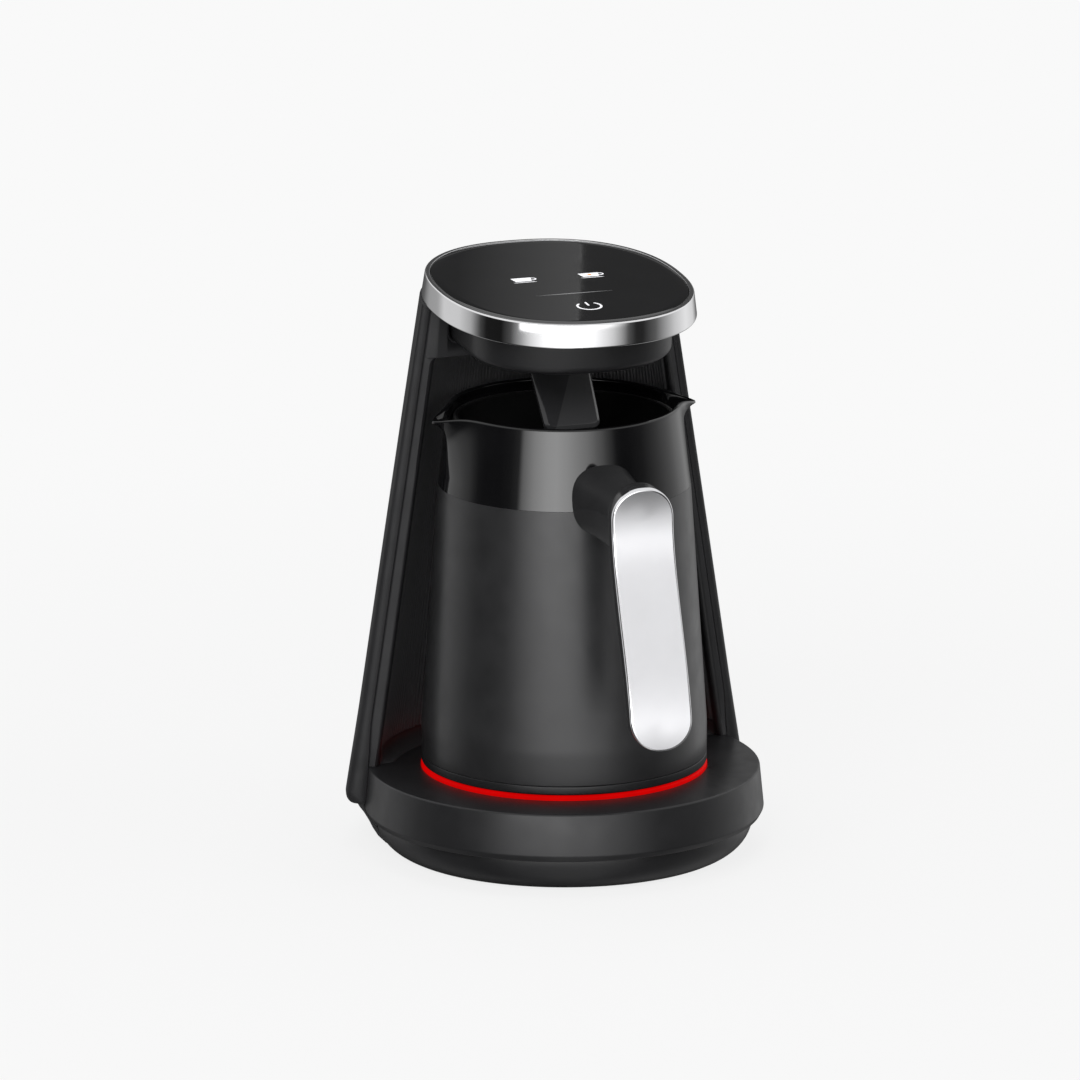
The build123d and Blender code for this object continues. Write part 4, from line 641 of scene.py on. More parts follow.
@dataclass
class Head:
    """Oval head: polished band, black touch panel with its icons, and the dark cover under it."""

    centre_y: float = 6.1
    centre_z: float = 230.2
    tilt: float = 4.06
    half_w: float = 51.2
    half_l: float = 59.4
    exponent: float = 2.3
    band_height: float = 9.6
    band_flare: float = 1.3
    band_width: float = 2.0
    band_lip: float = 1.6
    band_step: float = 1.0
    glass_gap: float = 0.12
    glass_thick: float = 1.6
    glass_sunk: float = 0.05
    print_low: float = 0.001
    print_thick: float = 0.03
    dot_level: float = 0.045
    cups: tuple[tuple[float, float], ...] = ((-12.9, 4.6), (15.4, 4.6))
    power_at: tuple[float, float] = (0.5, -35.0)
    dot_at: tuple[float, float] = (14.6, 5.6)
    dot_r: float = 0.85
    divider: tuple[tuple[float, float], ...] = ((-15.7, -17.1), (-5.0, -17.1), (5.0, -17.1), (16.3, -17.1))
    divider_line: float = 0.75
    cover_half_w: float = 41.2
    cover_front: float = 33.8
    cover_centre_y: float = -6.6
    cover_rear_y: float = 32.8
    cover_drop: float = 25.2
    cover_wall: float = 2.2
    cover_round: float = 3.5
    cover_power: float = 2.2
    cover_steps: int = 224
    slot_half_w: float = 13.6
    slot_y: tuple[float, float] = (-2.4, 21.7)

    def placed(self, local: Array) -> Array:
        """Points across, along and up from the panel's middle, tilted about x and lifted to the head."""
        turn = radians(self.tilt)
        across, along, up = local[..., 0], local[..., 1], local[..., 2]
        return np.stack([across, self.centre_y + along * cos(turn) - up * sin(turn),
                         self.centre_z + along * sin(turn) + up * cos(turn)], -1)

    def height(self, y: Number, drop: float) -> Number:
        """Height at y of the plane drop under the band's top: centre + (y - centre) tan t - drop / cos t."""
        turn = radians(self.tilt)
        return self.centre_z + (y - self.centre_y) * tan(turn) - drop / cos(turn)

    def carried_round(self, section: Array) -> Surface:
        """A section of (outward step, height) pairs carried round the oval, which grows by the step."""
        turn = np.linspace(0, 2 * pi, ROUND_STEPS, endpoint=False)
        step, up = section[:, :1], section[:, 1:]
        x, y = oval(self.half_w + step, self.half_l + step, self.exponent, turn[None])
        return grid(self.placed(np.stack([x, y, np.broadcast_to(up, x.shape)], -1)), around=True, along=True)

    def band(self) -> Surface:
        """The band: leans outwards to its lower edge, with a flat bright lip at its top."""
        flare, low, wide = self.band_flare, -self.band_height, self.band_width
        corners = [(-wide, 0.0), (0.0, 0.0), (flare, low), (flare - self.band_lip, low),
                   (-wide, low + self.band_step)]
        return self.carried_round(rounded(corners, [0.12, 0.7, 0.6, 0.1, 0.1], 7))

    def glass(self) -> Surface:
        """The panel inside the band: flat, with a fine rounded edge, closed by rings that shrink inwards."""
        turn = np.linspace(0, 2 * pi, ROUND_STEPS, endpoint=False)
        edge, top = -self.band_width - self.glass_gap, -self.glass_sunk
        bend, chamfer = 0.4, 0.12
        steps = np.array([(edge, top - self.glass_thick), (edge, top - bend), (edge - chamfer, top - chamfer),
                          (edge - bend, top)])
        rim_x, rim_y = oval(self.half_w + steps[:, :1], self.half_l + steps[:, :1], self.exponent, turn[None])
        rim = np.stack([rim_x, rim_y, np.broadcast_to(steps[:, 1:], rim_x.shape)], -1)
        inward = np.array([0.93, 0.8, 0.6, 0.4, 0.2, 0.0])[:, None, None]
        face = rim[-1] * np.concatenate([inward, inward, np.ones_like(inward)], -1)
        below = rim[0] * np.array([0.0, 0.0, 1.0])
        return grid(self.placed(np.concatenate([below[None], rim, face])), around=True)

    def print_stroke(self, path: Array | tuple[tuple[float, float], ...], width: float) -> Surface:
        """A printed line on the panel."""
        points = stroke(np.asarray(path, float), width, self.print_thick)
        points[..., 2] += self.print_low - self.glass_sunk
        return grid(self.placed(points), along=True)

    def print_flat(self, x: Array, y: Array, level: float, around: bool = False) -> Surface:
        """A printed area, a grid of points at one level over the panel's bed."""
        points = np.stack([x, y, np.full(x.shape, level - self.glass_sunk)], -1)
        return grid(self.placed(points), around=around)

    def print_dot(self, at: tuple[float, float], radius: float) -> Surface:
        """A small printed disc over the other prints."""
        turn = np.linspace(0, 2 * pi, 28, endpoint=False)
        reach = np.array([0.0, 0.5, 1.0])[:, None] * radius
        x, y = at[0] + reach * np.cos(turn), at[1] + reach * np.sin(turn)
        return self.print_flat(x, y, self.dot_level, around=True)

    def cup(self, x: float, y: float) -> Surface:
        """A cup sign: the bowl's half width is foot + (brim - foot) * share^0.7 at a share of its height."""
        sign = CupSign()
        level = np.linspace(0, 1, 12)[:, None]
        across = np.linspace(-1, 1, 15)[None]
        bowl_x = x + sign.bowl[0] + across * mixed(sign.foot_half, sign.brim_half, level ** 0.7)
        bowl_y = np.broadcast_to(y + sign.bowl[1] + sign.tall * level, bowl_x.shape)
        turn = np.linspace(-sign.ear_swing, sign.ear_swing, 21)
        ear = np.stack([x + sign.ear[0] + sign.ear_half[0] * np.cos(turn),
                        y + sign.ear[1] + sign.ear_half[1] * np.sin(turn)], -1)
        saucer_x = x + np.linspace(*sign.saucer_x, 9)
        saucer = np.stack([saucer_x, np.full(saucer_x.shape, y + sign.saucer_y)], -1)
        return joined([self.print_flat(bowl_x, bowl_y, self.print_low + self.print_thick),
                       self.print_stroke(ear, sign.ear_line), self.print_stroke(saucer, sign.saucer_line)])

    def power_symbol(self, x: float, y: float) -> Surface:
        """A power sign."""
        sign = PowerSign()
        turn = np.radians(np.linspace(sign.ring_from, sign.ring_to, 56))
        ring = np.stack([x + sign.ring_r * np.cos(turn), y + sign.ring_r * np.sin(turn)], -1)
        bar = np.stack([np.full(8, x), y + np.linspace(*sign.bar, 8)], -1)
        return joined([self.print_stroke(line, sign.line) for line in (ring, bar)])

    def cover_outline(self, inset: Number, turn: Array) -> tuple[Array, Array]:
        """Outline of the cover in the panel's plane: a round front and straight sides back to a flat rear."""
        wide, front = self.cover_half_w - inset, self.cover_front - inset
        start = self.cover_centre_y - self.centre_y
        rear = self.cover_rear_y - self.centre_y - inset
        x, y = oval(wide, front, self.cover_power, turn)
        back_x, back_y = self.rear_walk(wide, rear - start, turn)
        behind = np.sin(turn) > 0
        return np.where(behind, back_x, x), start + np.where(behind, back_y, y)

    @staticmethod
    def rear_walk(wide: Number, long: Number, turn: Array) -> tuple[Array, Array]:
        """The rear half as a rectangle, walked by the angle: a ray meets one of its sides or its back."""
        reach = 1 / np.maximum(np.abs(np.cos(turn)), np.abs(np.sin(turn)))
        return wide * np.cos(turn) * reach, long * np.sin(turn) * reach

    def cover(self) -> Surface:
        """The cover under the head: a tub with a rounded lower edge and a slot in its floor for the nose."""
        turn = np.linspace(0, 2 * pi, self.cover_steps, endpoint=False)
        drop, wall, bend = self.cover_drop, self.cover_wall, self.cover_round
        corner = [(bend * (1 - cos(a)), drop - bend + bend * sin(a)) for a in np.linspace(0, pi / 2, 7)]
        outer = [(0.0, self.band_height)] + corner
        inner = [(wall + inset, down - wall) for inset, down in corner[::-1]] + [(wall, self.band_height)]

        def ring(inset: float, down: float) -> Array:
            """One ring of the tub."""
            x, y = self.cover_outline(inset, turn)
            return self.placed(np.stack([x, y, np.full(x.shape, -down)], -1))

        def slot_ring(down: float) -> Array:
            """One ring of the slot's edge, met by rays from the slot's middle towards the tub's outline."""
            x, y = self.cover_outline(wall, turn)
            low, high = (value - self.centre_y for value in self.slot_y)
            middle, half = (low + high) / 2, (high - low) / 2
            reach = 1 / np.maximum(np.abs(x) / self.slot_half_w, np.abs(y - middle) / half)
            slot_y = middle + (y - middle) * reach
            return self.placed(np.stack([x * reach, slot_y, np.full(x.shape, -down)], -1))

        rows = [ring(*pair) for pair in outer]
        rows += [slot_ring(drop), slot_ring(drop - wall)]
        rows += [ring(*pair) for pair in inner]
        return grid(np.stack(rows), around=True, along=True)

    def build(self) -> None:
        """Makes the pieces of the head."""
        machine, touch = Body.MACHINE, "touch_surface"
        Piece("head_band", Finish.bright_band, machine, "bright_band", ("chrome_band",), 30).make(self.band())
        Piece("head_panel", Finish.touch_surface, machine, touch, ("touch_glass",), 30).make(self.glass())
        cover = Piece("head_under_cover", Finish.matt_base, machine, "matt_shell", ("head_cover",), 40)
        cover.make(self.cover())
        signs = joined([self.cup(*place) for place in self.cups] + [self.power_symbol(*self.power_at)])
        Piece("panel_icons", Finish.printed_white, machine, touch).make(signs)
        dot = self.print_dot(self.dot_at, self.dot_r)
        Piece("panel_icon_dot", Finish.printed_amber, machine, touch).make(dot)
        line = self.print_stroke(self.divider, self.divider_line)
        Piece("panel_divider", Finish.printed_grey, machine, touch).make(line)


# ---------------------------------------------------------------- column
@dataclass
class Column:
    """Tapered column behind the pot: a shell with two rounded front flanges, and a ribbed wall between."""

    head: Head
    base: Base
    low_z: float = 18.0
    top_z: float = 230.0
    low: tuple[float, float, float, float] = (87.8, 87.9, 2.0, 0.0)
    high: tuple[float, float, float, float] = (52.2, 60.3, 2.28, 6.4)
    front_y: float = 19.2
    wall: float = 2.6
    least_wall: float = 0.5
    foot_flare: float = 0.6
    foot_flare_z: tuple[float, float] = (16.0, 62.0)
    foot_round: float = 4.6
    foot_draw: float = 0.75
    flange_depth: float = 7.0
    flange_lead: tuple[float, float] = (4.8, 1.3)
    flange_power: float = 2.2
    flange_inner_x: tuple[float, float] = (80.4, 48.3)
    flange_inner_lead: float = 0.25
    flange_draw: float = 1.5
    flange_draw_z: tuple[float, float] = (33.0, 54.0)
    skirt_gap: float = 0.08
    head_gap: float = 0.02
    groove: float = 0.1
    groove_back: float = 0.06
    edge_y: float = 17.5
    edge_round: float = 2.4
    recess_low: tuple[float, float] = (75.6, 64.0)
    recess_high: tuple[float, float] = (51.6, 53.0)
    ceiling_z: float = 200.0
    ceiling_round: float = 2.6
    panel_wall: float = 2.2
    cove: float = 6.0
    face_rows: int = 6
    notch_x: float = 43.1
    notch_gap: float = 0.4
    notch_round: float = 4.3
    notch_lip: float = 1.2
    notch_depth: float = 12.0
    notch_lip_thick: float = 2.4
    notch_lip_reach: float = 1.0
    ribs: int = 84
    rib_steps: int = 6
    rib_depth: float = 0.26
    sole_turn: tuple[float, float] = (15.0, 165.0)
    sole_section: tuple[tuple[float, float], ...] = (
        (83.6, 19.0), (82.2, 16.6), (80.4, 14.2), (78.5, 11.0), (76.9, 7.7), (74.8, 4.4), (71.6, 1.3),
        (70.3, 1.3), (73.2, 4.9), (75.2, 8.2), (76.5, 11.2), (77.2, 13.8), (79.3, 13.8), (80.6, 16.4),
        (80.8, 19.0))
    bead: int = 12
    side: int = 5
    arc: int = 96

    def share(self, height: Number) -> Number:
        """Share of the column's height."""
        return (height - self.low_z) / (self.top_z - self.low_z)

    def section(self, height: Number) -> list[Number]:
        """Half width, half length, exponent and middle of the column's oval, a little wider at its foot."""
        half_w, *others = [mixed(start, end, self.share(height)) for start, end in zip(self.low, self.high)]
        return [half_w + self.foot_flare * (1 - smooth(height, *self.foot_flare_z)), *others]

    def width_at(self, y: Number, height: Number) -> Number:
        """Half width of the oval at y: w (1 - |(y - c) / l|^n)^(1/n)."""
        half_w, half_l, exponent, centre = self.section(height)
        return half_w * np.clip(1 - np.abs((y - centre) / half_l) ** exponent, 0, 1) ** (1 / exponent)

    def flange_inner(self, height: Number) -> Number:
        """Half width at the inner edge of the flanges, drawn in a little over the base."""
        drawn = self.flange_draw * (1 - smooth(height, *self.flange_draw_z))
        return mixed(*self.flange_inner_x, self.share(height)) - drawn

    def under_band(self, y: Number) -> Number:
        """Height just under the head's band at y."""
        return self.head.height(y, self.head.band_height) - self.head_gap

    def inner_side(self, y: Number, height: Array) -> Array:
        """Half width at a flange's inner side: straight above the base, and along the skirt below its top."""
        skirt = np.sqrt(np.maximum((self.base.skirt_outside(height) + self.skirt_gap) ** 2 - y ** 2, 1.0))
        return np.where(height < self.base.top_z + 0.1, skirt, self.flange_inner(height))

    def flank(self, level: Array, outside: bool) -> tuple[Array, Array]:
        """One flange's line from its foremost point back to the wall, with one height per point.

        Its front is a quarter oval from the inner side to the outside; on the inside it is a short sine.
        """
        front, back = level[:, :self.bead], level[:, self.bead:]
        lead = mixed(*self.flange_lead, self.share(front))
        turn = np.linspace(0, pi / 2, self.bead)
        front_x = self.inner_side(self.front_y, front)
        forward = self.flange_inner_lead * np.sin(turn)
        if outside:
            outer = self.width_at(self.front_y + lead, front)
            front_x = front_x + (outer - front_x) * power(np.sin(turn), 2 / self.flange_power)
            forward = 1 - power(np.cos(turn), 2 / self.flange_power)
        front_y = self.front_y + lead * forward
        along = np.linspace(0, 1, self.side + 1)[1:]
        back_y = mixed(front_y[:, -1:], self.front_y + self.flange_depth, along)
        back_x = self.width_at(back_y, back) if outside else self.inner_side(back_y, back)
        return np.hstack([front_x, back_x]), np.hstack([front_y, back_y])

    def half_strip(self, height: Array, outside: bool) -> Array:
        """The outer or the inner line of the shell's section, from the front of one flange to the other's.

        The line runs round the back on the column's oval, which is smaller by the wall for the inner line.

        Args:
            height: one height per point of the line, rows by points.
            outside: the outer line, or else the inner one.

        Returns:
            x and y of each point.
        """
        ends = self.bead + self.side
        near_x, near_y = self.flank(height[:, :ends], outside)
        far_x, far_y = self.flank(height[:, ::-1][:, :ends], outside)
        inset = 0.0 if outside else self.wall
        half_w, half_l, exponent, centre = self.section(height[:, ends:-ends])
        half_w, half_l = half_w - inset, half_l - inset
        first = self.front_y + self.flange_depth
        start = np.arcsin(np.clip(((first - centre) / half_l) ** (exponent / 2), 0, 1))
        arc_x, arc_y = oval(half_w, half_l, exponent, mixed(start, pi - start, np.linspace(0, 1, self.arc)))
        x = np.hstack([near_x, arc_x, -far_x[:, ::-1]])
        y = np.hstack([near_y, centre + arc_y, far_y[:, ::-1]])
        if not outside:
            room = self.base.skirt_outside(height) + self.skirt_gap
            x = np.where(height < self.base.top_z + 0.5, x * np.maximum(1, room / np.hypot(x, y)), x)
        return np.stack([x, y], -1)

    def shell_heights(self) -> tuple[Array, Array]:
        """Rows of the shell: the foot's bend, the rows beside the base, and the rows above it.

        They run from the foot to the plane under the head's band, which depends on y, so place and height are
        found together in a few rounds.

        Returns:
            Share of the way up, one per row, and the height of each point.
        """
        beside = (self.base.top_z - self.low_z) / (self.under_band(self.front_y) + self.head_gap - self.low_z)
        share = np.concatenate([np.zeros(6), np.linspace(0, beside - 5e-4, 7),
                                np.linspace(beside + 1.5e-3, 1, 41)])[:, None]
        columns = 2 * (self.bead + self.side) + self.arc
        height = np.broadcast_to(mixed(self.low_z, self.top_z, share), (len(share), columns))
        for _ in range(5):
            y = self.half_strip(height, True)[..., 1]
            height = self.low_z + share * (self.under_band(y) - self.low_z)
        return share, height

    def shell(self) -> Surface:
        """The outer shell: closed section of the wall and both flanges, swept up with the taper.

        At the foot the outer line draws in towards the inner one in a quarter circle, and the inner line
        makes room for it.
        """
        share, height = self.shell_heights()
        above = np.maximum(height, self.low_z + self.foot_round)
        outer, inner = self.half_strip(above, True), self.half_strip(above, False)
        across = np.linalg.norm(inner - outer, axis=-1, keepdims=True)
        inward = (inner - outer) / np.maximum(across, 1e-6)
        bend = np.full(across.shape, self.foot_round)
        for front in (slice(self.bead), slice(-self.bead, None)):
            bend[:, front] = np.minimum(bend[:, front], across[:, front])
        bottom = np.linspace(0, pi / 2, 7)
        turn = np.concatenate([bottom, np.full(len(share) - len(bottom), pi / 2)])[:, None, None]
        step = self.foot_draw * bend * (1 - np.sin(turn))
        outer = outer + inward * step
        thin = (step > 1e-6) & (across - step < self.least_wall)
        inner = np.where(thin, outer + inward * self.least_wall, inner)
        bend = bend[..., 0]
        settled = np.where(share > 0, np.maximum(height, self.low_z + bend),
                           height + bend * (1 - np.cos(turn[..., 0])))
        loops = np.concatenate([np.dstack([outer, settled]), np.dstack([inner, settled])[:, ::-1]], 1)
        spine = np.dstack([(outer + inner) / 2, settled])
        foot, roof = (np.concatenate([row, row[:, ::-1]], 1) for row in (spine[:1], spine[-1:]))
        return grid(np.concatenate([foot, loops, roof]), around=True)

    def sole(self) -> Surface:
        """The column's foot: a crescent that runs in under the shell round the back of the bowl."""
        turn = np.linspace(*(radians(angle) for angle in self.sole_turn), 90)
        profile = np.array(self.sole_section)
        reach, level = profile[:, :1], np.broadcast_to(profile[:, 1:], (len(profile), len(turn)))
        points = np.dstack([reach * np.cos(turn), reach * np.sin(turn), level])
        middle = [np.broadcast_to(points[:, at].mean(0), (len(profile), 1, 3)) for at in (0, -1)]
        return grid(np.concatenate([middle[0], points, middle[1]], 1), along=True)

    def notch_floor(self) -> float:
        """Height of the notch's lower edge, just under the head's cover."""
        return self.head.height(self.edge_y, self.head.cover_drop) - self.notch_gap

    def wall_heights(self) -> tuple[Array, Array, Array]:
        """Rows of the ribbed wall from the base to the ceiling.

        Returns:
            The heights, how far the cove at the foot draws the wall in, and how far the ceiling's bend does.
        """
        bend = np.linspace(0, pi / 2, 8)
        foot = self.base.top_z + 0.05
        cove = foot + self.cove * (1 - np.cos(bend))
        step = foot + self.cove + np.array([0.25, 0.5])
        wall = np.linspace(step[-1], self.ceiling_z - self.ceiling_round, 44)[1:]
        over = self.ceiling_z - self.ceiling_round * (1 - np.sin(bend[1:]))
        height = np.concatenate([cove, step, wall, over])
        low, top = np.zeros(len(height)), np.zeros(len(height))
        low[:8] = self.cove * (1 - np.sin(bend))
        top[-7:] = self.ceiling_round * (1 - np.cos(bend[1:]))
        return height[:, None], low[:, None], top[:, None]

    def ribbed(self) -> tuple[Array, Array, Array]:
        """The recess in plan: an ellipse pushed in and out by a cosine for the ribs.

        Below the ribs a cove runs forward onto the base, and the ribs stand a little proud of it.

        Returns:
            The heights, x and y of each point, and the mark for the recess's painted light: full on the
            ribbed wall, a quarter in the cove, fading at the sides.
        """
        height, low, top = self.wall_heights()
        share = (height - self.base.top_z) / (self.ceiling_z - self.base.top_z)
        half_w = mixed(self.recess_low[0], self.recess_high[0], share)
        half_l = mixed(self.recess_low[1], self.recess_high[1], share)
        back = self.edge_y + self.edge_round
        start = np.arcsin(back / half_l)
        phase = np.linspace(0, self.ribs, self.ribs * self.rib_steps + 1)[None] * 2 * pi
        turn = mixed(start, pi - start, phase / phase[0, -1])
        normal = unit(np.dstack([np.cos(turn) / half_w, np.sin(turn) / half_l]))
        ends = np.minimum(phase, phase[:, ::-1]) / (2 * pi)
        cove_top = self.base.top_z + self.cove
        above = smooth(height, cove_top + 0.2, cove_top + 0.5)
        below_ceiling = 1 - smooth(height, self.ceiling_z - 4.0, self.ceiling_z - 2.8)
        fade = smooth(ends, 0.6, 1.8) * above * below_ceiling
        ribs = self.rib_depth * 0.5 * (1 - np.cos(phase)) * fade
        draw = low * smooth(ends, 0.0, 4.0) + top + 0.5 * above * smooth(ends, 0.0, 1.0)
        plan = np.dstack([half_w * np.cos(turn), half_l * np.sin(turn)]) + normal * (ribs - draw)[..., None]
        plan[..., 1] = np.maximum(plan[..., 1], back)
        return height, plan, (0.25 + 0.75 * above) * smooth(ends, 0.0, 0.5)

    def border(self, height: Array, edge: Array) -> Array:
        """Plan of one side of the wall: a border slopes forward to the recess's edge, then turns into it.

        The border is straight, and the edge turns in a quarter circle.
        """
        rows = len(height)
        across = np.linspace(0, 1, 5)[None, :-1]
        bend = np.linspace(0, pi / 2, 6)[:-1]
        outer = self.flange_inner(height) - self.groove
        slope_y = np.broadcast_to(mixed(self.front_y, self.edge_y, across), (rows, across.size))
        slope = np.dstack([mixed(outer, edge, across), slope_y])
        slope[:, 0, 1] += self.groove_back
        corner_y = np.broadcast_to(self.edge_y + self.edge_round * (1 - np.cos(bend)), (rows, bend.size))
        corner = np.dstack([edge - self.edge_round * np.sin(bend), corner_y])
        return np.concatenate([slope, corner], 1)

    def face_above(self, last: Array, edge_x: float) -> Array:
        """Rows of the plain face over the recess, from its last row up to the head and round the notch.

        The ceiling runs forward to the edge's plane. Then come the notch's lower edge, with round corners,
        and the rows up to the head. Beyond the notch a point keeps its share of the way to the flange.
        """
        snapped = self.at_notch(last[:, 0])
        flat = np.where(np.abs(last[:, 0]) < edge_x + 0.01, self.edge_y, last[:, 1])
        rows = []
        for forward in (0.35, 0.7, 0.9, 1.0):
            x, y = mixed(last[:, 0], snapped, forward), mixed(last[:, 1], flat, forward)
            rows.append(np.stack([x, y, last[:, 2]], -1))
        wide, bend = np.abs(snapped), self.notch_round
        over = np.clip(wide - (self.notch_x - bend), 0.0, bend)
        notch_z = self.notch_floor() + bend - np.sqrt(bend ** 2 - over ** 2)
        limit = self.flange_inner(self.ceiling_z) - self.groove
        beyond = (wide - self.notch_x) / (limit - self.notch_x)
        levels = [np.full(wide.shape, self.ceiling_z + 1.5)]
        levels += [mixed(notch_z, self.under_band(flat), up) for up in np.linspace(0, 1, self.face_rows + 1)]
        for level in levels:
            shifted = mixed(self.notch_x, self.flange_inner(level) - self.groove, beyond)
            x = np.where(beyond > 1e-3, np.sign(snapped) * shifted, snapped)
            rows.append(np.stack([x, flat, level], -1))
        return np.stack(rows)

    def panel(self) -> Surface:
        """The wall between the flanges as one sheet.

        Across lie a border, the recess with its ribs and the other border. Up, the recess ends under a
        ceiling that runs forward, and a plain face goes on to the head, with a notch for the head's cover.
        """
        height, plan, ribbed = self.ribbed()
        edge = plan[:, :1, 0] + self.edge_round
        side = self.border(height, edge)
        sheet = np.concatenate([side, plan, (side * (-1, 1))[:, ::-1]], 1)
        lower = np.dstack([sheet, np.broadcast_to(height, sheet.shape[:2])])
        points = np.concatenate([lower, self.face_above(lower[-1], float(edge[-1, 0]))])
        keep = np.ones((points.shape[0] - 1, points.shape[1] - 1), bool)
        beside_notch = points[-self.face_rows - 1:-1, :, 0]
        keep[-self.face_rows:] = np.abs(beside_notch[:, :-1] + beside_notch[:, 1:]) / 2 > self.notch_x
        # the recess mark: where the wall's colour is lifted as painted light against the recess's shade
        marks = np.zeros(points.shape[:2])
        marks[:len(height), side.shape[1]:-side.shape[1]] = ribbed
        return grid(points, keep=keep, marks={"recess": marks})

    def at_notch(self, x: Array) -> Array:
        """The points nearest to the notch's sides moved exactly onto them."""
        moved = x.copy()
        for side in (-1, 1):
            moved[np.argmin(np.abs(x - side * self.notch_x))] = side * self.notch_x
        return moved

    def notch_rim(self) -> Surface:
        """The rounded lip of the notch: its edge turns back in a quarter circle and runs along the cover.

        The path goes down one side, round the lower corners and up the other side, and a closed section is
        carried along it, with each end drawn to its middle.
        """
        floor = self.notch_floor()
        tall = self.under_band(self.edge_y)
        corners = [(-self.notch_x, tall), (-self.notch_x, floor), (self.notch_x, floor), (self.notch_x, tall)]
        path = rounded(corners, [0.01, self.notch_round, self.notch_round, 0.01], 9)[4:-4]
        inward = turned_left(unit(np.gradient(path, axis=0)))
        lip, deep = self.notch_lip, self.notch_depth
        thick, over = self.notch_lip_thick, -self.notch_lip_reach
        section = [(over, 0.02)] + [(lip * sin(a), lip * (1 - cos(a))) for a in np.linspace(0, pi / 2, 7)]
        section += [(lip, deep), (0.0, deep), (0.0, thick), (over, thick)]
        rows = np.stack([np.stack([path[:, 0] + inward[:, 0] * step, np.full(len(path), self.edge_y + back),
                                   path[:, 1] + inward[:, 1] * step], -1) for step, back in section])
        ends = [np.broadcast_to(rows[:, at].mean(0), (len(section), 1, 3)) for at in (0, -1)]
        return grid(np.concatenate([ends[0], rows, ends[1]], 1), along=True)

    def build(self) -> None:
        """Makes the pieces of the column."""
        shell = joined([self.shell(), self.sole()])
        Piece("column_shell", Finish.matt_shell, Body.MACHINE, "matt_shell", ("rear_shell",), 40).make(shell)
        Piece("column_wall", Finish.matt_panel, Body.MACHINE, "matt_panel", ("front_panel",), 40,
              self.panel_wall).make(self.panel())
        Piece("column_wall_notch", Finish.matt_panel, Body.MACHINE, "matt_panel").make(self.notch_rim())


# ---------------------------------------------------------------- flat, bent pieces with an outline
@dataclass
class Slab:
    """A slab with a rounded outline, bent along a line in the y-z plane."""

    half_top: float
    half_low: float
    corner_top: float
    corner_low: float
    line: Array
    corner_steps: int = 18
    spine_gap: float = 0.2

    def frame_at(self, run: Array) -> tuple[Array, Array]:
        """Point on the line and unit vector to its front, at a length along it from the lower end."""
        length = way_along(self.line)
        slope = unit(np.gradient(self.line, length, axis=0))
        point, ahead = (np.stack([np.interp(run, length, values[:, axis]) for axis in (0, 1)], -1)
                        for values in (self.line, slope))
        return point, unit(turned_left(ahead))

    @property
    def length(self) -> float:
        """Length of the bent line."""
        return float(way_along(self.line)[-1])

    def outline(self) -> Array:
        """The outline laid flat, x across and s along, anticlockwise from the lower left, evenly cut."""
        long = self.length
        corners = [(-self.half_low, 0.0), (self.half_low, 0.0), (self.half_top, long), (-self.half_top, long)]
        radii = [self.corner_low, self.corner_low, self.corner_top, self.corner_top]
        raw = rounded(corners, radii, self.corner_steps)
        closed = np.vstack([raw, raw[:1]])
        walked = way_along(closed)
        cuts = np.linspace(0, walked[-1], ROUND_STEPS, endpoint=False)
        return np.stack([np.interp(cuts, walked, closed[:, axis]) for axis in (0, 1)], -1)

    def rings(self, section: list[tuple[float, float, float]]) -> Surface:
        """Closed slab from rings of (inset from the outline, depth behind the line, rim mark).

        Each ring is the outline moved in by its inset. The first and the last draw together on the slab's
        middle line.

        Args:
            section: the rings from the front's edge round the rim to the back's edge.

        Returns:
            The surface with its rim mark.
        """
        outline = self.outline()
        inward = outline_normals(outline)
        spine_low, spine_top = self.half_low + self.spine_gap, self.length - self.half_top - self.spine_gap
        spine = np.stack([np.zeros(len(outline)), np.clip(outline[:, 1], spine_low, spine_top)], -1)
        rings = [(outline + inward * inset, depth, mark) for inset, depth, mark in section]
        (front, front_depth, _), (back, back_depth, _) = rings[0], rings[-1]
        before = [(mixed(front, spine, share), front_depth, 0.0) for share in (1.0, 0.6, 0.25)]
        behind = [(mixed(back, spine, share), back_depth, 0.0) for share in (0.25, 0.6, 1.0)]
        rows, marks = [], []
        for flat, depth, mark in before + rings + behind:
            point, normal = self.frame_at(flat[:, 1])
            rows.append(np.column_stack([flat[:, 0], point - normal * depth]))
            marks.append(np.full(len(flat), mark))
        return grid(np.stack(rows), around=True, marks={"rim": np.stack(marks)})


